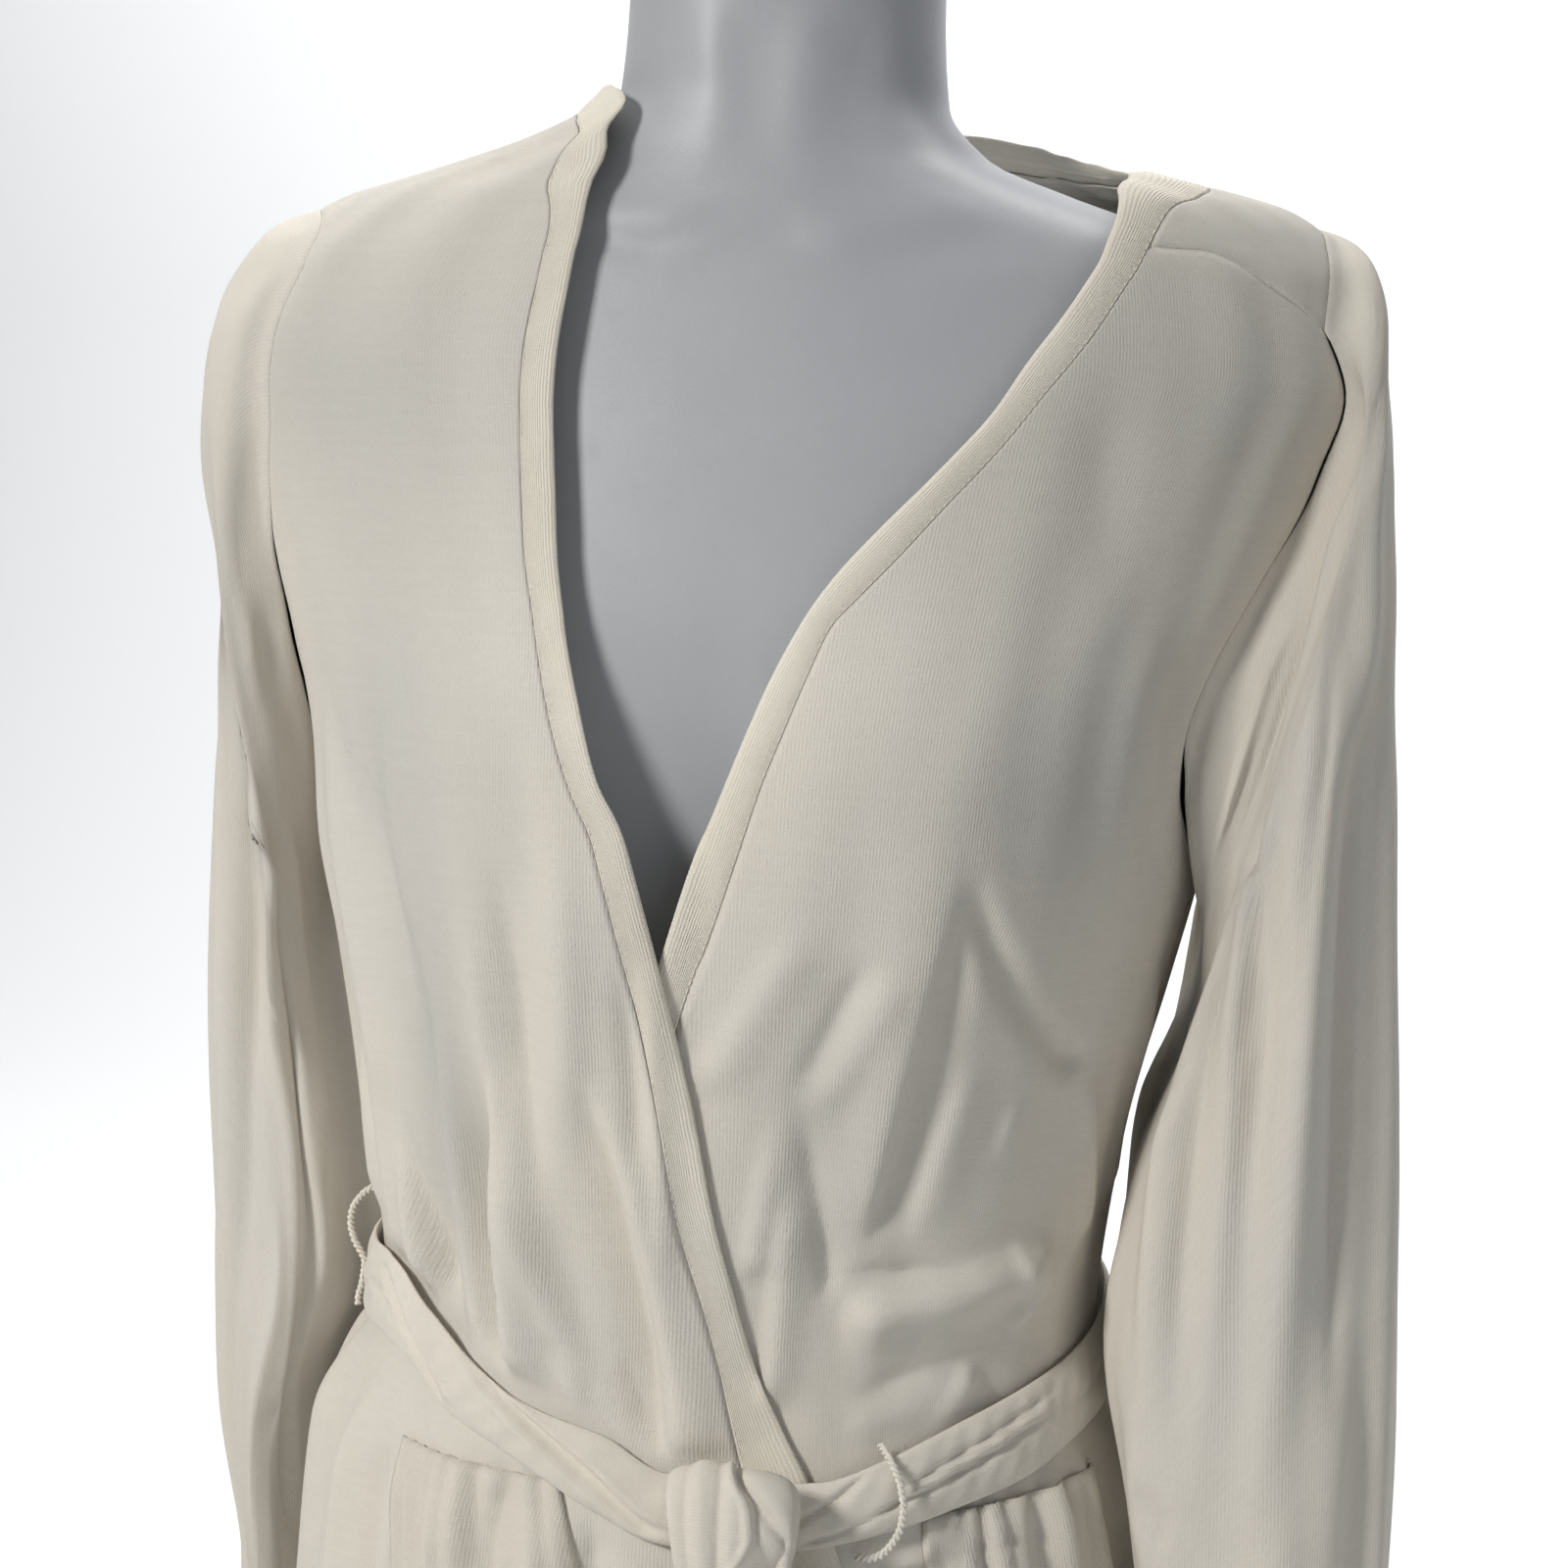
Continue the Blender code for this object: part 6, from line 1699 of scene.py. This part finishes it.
class WRAPTOP_OT_knot(WrapTopPiece, bpy.types.Operator):
    """Add the knot and the two loose ends of the belt"""

    bl_idname = "wrap_top.knot"
    bl_label = "Knot and ends"

    def make(self, sizes):
        """The knot is a boxy oval, the turn of the belt lies over its left part, and folds run down it."""
        s = np.sin(np.linspace(-1, 1, 121) * 1.53)[:, None]
        phi = np.linspace(0, 2 * np.pi, 160, endpoint=False)[None]
        round_off = (1 - s ** 4) ** 0.25
        up, face = rounded(np.sin(phi), 0.85), rounded(np.cos(phi), 0.85)
        z = KNOT_HALF_HEIGHT * round_off * up
        x = KNOT_HALF_WIDTH * s * (1 - 0.22 * fade(0.5 - z / 0.04)) - 0.04 * z
        y = -KNOT_HALF_DEPTH * round_off * face
        level = up + 0 * s
        edge = smooth(KNOT_EDGE["level"], KNOT_EDGE["share"], level)
        over = fade((edge - s) / 0.05 + 0.5)
        folds_down = np.zeros(level.shape)
        for share, lean, width, depth in zip(*KNOT_FOLDS.values()):
            folds_down = folds_down + depth * bell((s - share - lean * level) / width)
        rim = 0.9 * bell((s - edge + 0.10) / 0.07)
        under = fade((s - edge) / 0.25) * fade((0.25 - level) / 0.7)
        side_fold = (0.7 * bell((level - 0.8 + 0.7 * (s - 0.5)) / 0.2)
                     - 1.6 * bell((level - 0.55 + 0.9 * (s - 0.5)) / 0.14))
        front = fade((np.cos(phi) + 0.3) / 0.4)
        relief = MM * front * (over * (2.3 + folds_down + rim) - 4.5 * under + (1 - over) * side_fold)
        relief = relief * fade((1 - np.abs(s)) / 0.12)
        middle = surface(KNOT_TURN, KNOT_CENTRE[1], KNOT_OUT)
        points = side_by_side(x + KNOT_CENTRE[0], y + middle[1], z + KNOT_CENTRE[1])
        normal = grid_normals(points, 1)
        outward = np.sum(normal * (points - points.reshape(-1, 3).mean(0)))
        points = points + normal * np.sign(outward) * relief[..., None]
        uv = side_by_side(np.linspace(0, 0.12, 161)[None], 0.03 * s)
        thing = add_tubes("belt_knot_cloth", points[None], uv[None], material("belt jersey"))
        finish_piece(thing, "jersey", "belt_knot")
        for side in TAILS:
            self.add_tail(side)

    def add_tail(self, side):
        """A strap on the right front, which narrows up into the knot and has two folds down its length."""
        top_turn, foot_turn, foot, hang = TAILS[side]
        down = np.linspace(0, 1, 150)
        across, outer = strap_profile(26, 12)
        height = foot + (TAIL_HIGH - foot) * down
        half = np.degrees(TAIL_HALF_WIDTH / TAIL_RADIUS) * (0.50 + 0.50 * fade((1 - down) / 0.4))
        middle = foot_turn + (top_turn - foot_turn) * down + 1.2 * np.sin(7 * down) * (1 - down)
        first, second = (np.stack([middle + way * half, height], -1) for way in (-1, 1))
        lift = hang + TAIL_GATHER * fade((down - 0.90) / 0.10)
        a, d = across[None], down[:, None]
        relief = -1.1 * MM * bell((a - 0.36 - 0.12 * d) / 0.09) * fade((d - 0.2) / 0.5)
        relief = relief - 1.3 * MM * bell((a - 0.68 + 0.10 * d) / 0.08) * fade((d - 0.1) / 0.5)
        relief = relief - 0.5 * MM * bell((height[:, None] - foot - TAIL_HEM) / (1.5 * MM))
        wave = TAIL_WAVE * (1 + np.sin(9 * d + 2.5 * a) * fade((1 - d) / 0.3))
        out = strap_out(a, outer[None], lift[:, None] + wave, relief)
        rings = strip(first, second, across, out)
        uv = strip_uv(rings, across, 2 * TAIL_HALF_WIDTH)
        thing = add_tubes(f"belt_tail_{side}_cloth", rings[None], uv[None], material("belt jersey"))
        finish_piece(thing, "jersey", f"belt_tail_{side}")


class WRAPTOP_OT_loops(WrapTopPiece, bpy.types.Operator):
    """Add the two thread loops that carry the belt"""

    bl_idname = "wrap_top.loops"
    bl_label = "Thread loops"

    def make(self, sizes):
        """Two strands twisted together: each goes round the route as a sine and cosine of its length."""
        for name, route in (("belt_loop_left", BELT_LOOP_LEFT), ("belt_loop_right", BELT_LOOP_RIGHT)):
            rows = np.arange(len(route["turn"]), dtype=float)
            fine = np.linspace(0, rows[-1], 150)
            turn, height, out = (smooth(rows, route[key], fine) for key in ("turn", "height", "out"))
            line = surface(turn, height, out)
            outward = surface(turn, height, out + MM) - line
            forward = unit(np.gradient(line, axis=0))
            side = unit(np.cross(forward, outward))
            lead = np.cross(side, forward)
            run = distances(line)
            twist = (2 * np.pi * run / THREAD_TWIST + np.array([0, np.pi])[:, None])[..., None]
            centre = line + STRAND_APART * sizes.thread_width * (np.cos(twist) * side + np.sin(twist) * lead)
            turn = np.linspace(0, 2 * np.pi, 10, endpoint=False)[:, None]
            section = np.cos(turn) * side[:, None] + np.sin(turn) * lead[:, None]
            rings = centre[:, :, None] + STRAND_RADIUS * sizes.thread_width * section
            u = np.linspace(0, 0.003, 11) + 0.3 * run[:, None] + 0 * centre[..., :1]
            uv = side_by_side(u, run[:, None])
            thing = add_tubes(f"{name}_thread", rings, uv, material("thread"))
            finish_piece(thing, "thread", name)


class WRAPTOP_PT_panel(bpy.types.Panel):
    """The wrap top's pieces, in the 3D view's sidebar"""

    bl_label = "Wrap Top"
    bl_idname = "WRAPTOP_PT_panel"
    bl_space_type = "VIEW_3D"
    bl_region_type = "UI"
    bl_category = "Wrap Top"

    def draw(self, context):
        """List the sizes, the colours and a button for each piece."""
        for group in (context.scene.wrap_top_sizes, context.scene.wrap_top_colours):
            for key in group.__annotations__:
                self.layout.prop(group, key)
        for operator in OPERATORS:
            self.layout.operator(operator.bl_idname)


OPERATORS = (WRAPTOP_OT_stage, WRAPTOP_OT_form, WRAPTOP_OT_back, WRAPTOP_OT_fronts, WRAPTOP_OT_neckband,
             WRAPTOP_OT_sleeves, WRAPTOP_OT_pockets, WRAPTOP_OT_belt, WRAPTOP_OT_knot, WRAPTOP_OT_loops)
CLASSES = (WrapTopSizes, WrapTopColours, *OPERATORS, WRAPTOP_PT_panel)


def register():
    """Add the classes and the scene's sizes and colours."""
    for each in CLASSES:
        bpy.utils.register_class(each)
    bpy.types.Scene.wrap_top_sizes = bpy.props.PointerProperty(type=WrapTopSizes)
    bpy.types.Scene.wrap_top_colours = bpy.props.PointerProperty(type=WrapTopColours)


def unregister():
    """Remove what register added."""
    del bpy.types.Scene.wrap_top_sizes
    del bpy.types.Scene.wrap_top_colours
    for each in reversed(CLASSES):
        bpy.utils.unregister_class(each)


def main():
    """Make everything in order."""
    register()
    for operator in OPERATORS:
        getattr(bpy.ops.wrap_top, operator.bl_idname.split(".")[1])()
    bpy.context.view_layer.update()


if __name__ == "__main__":
    main()
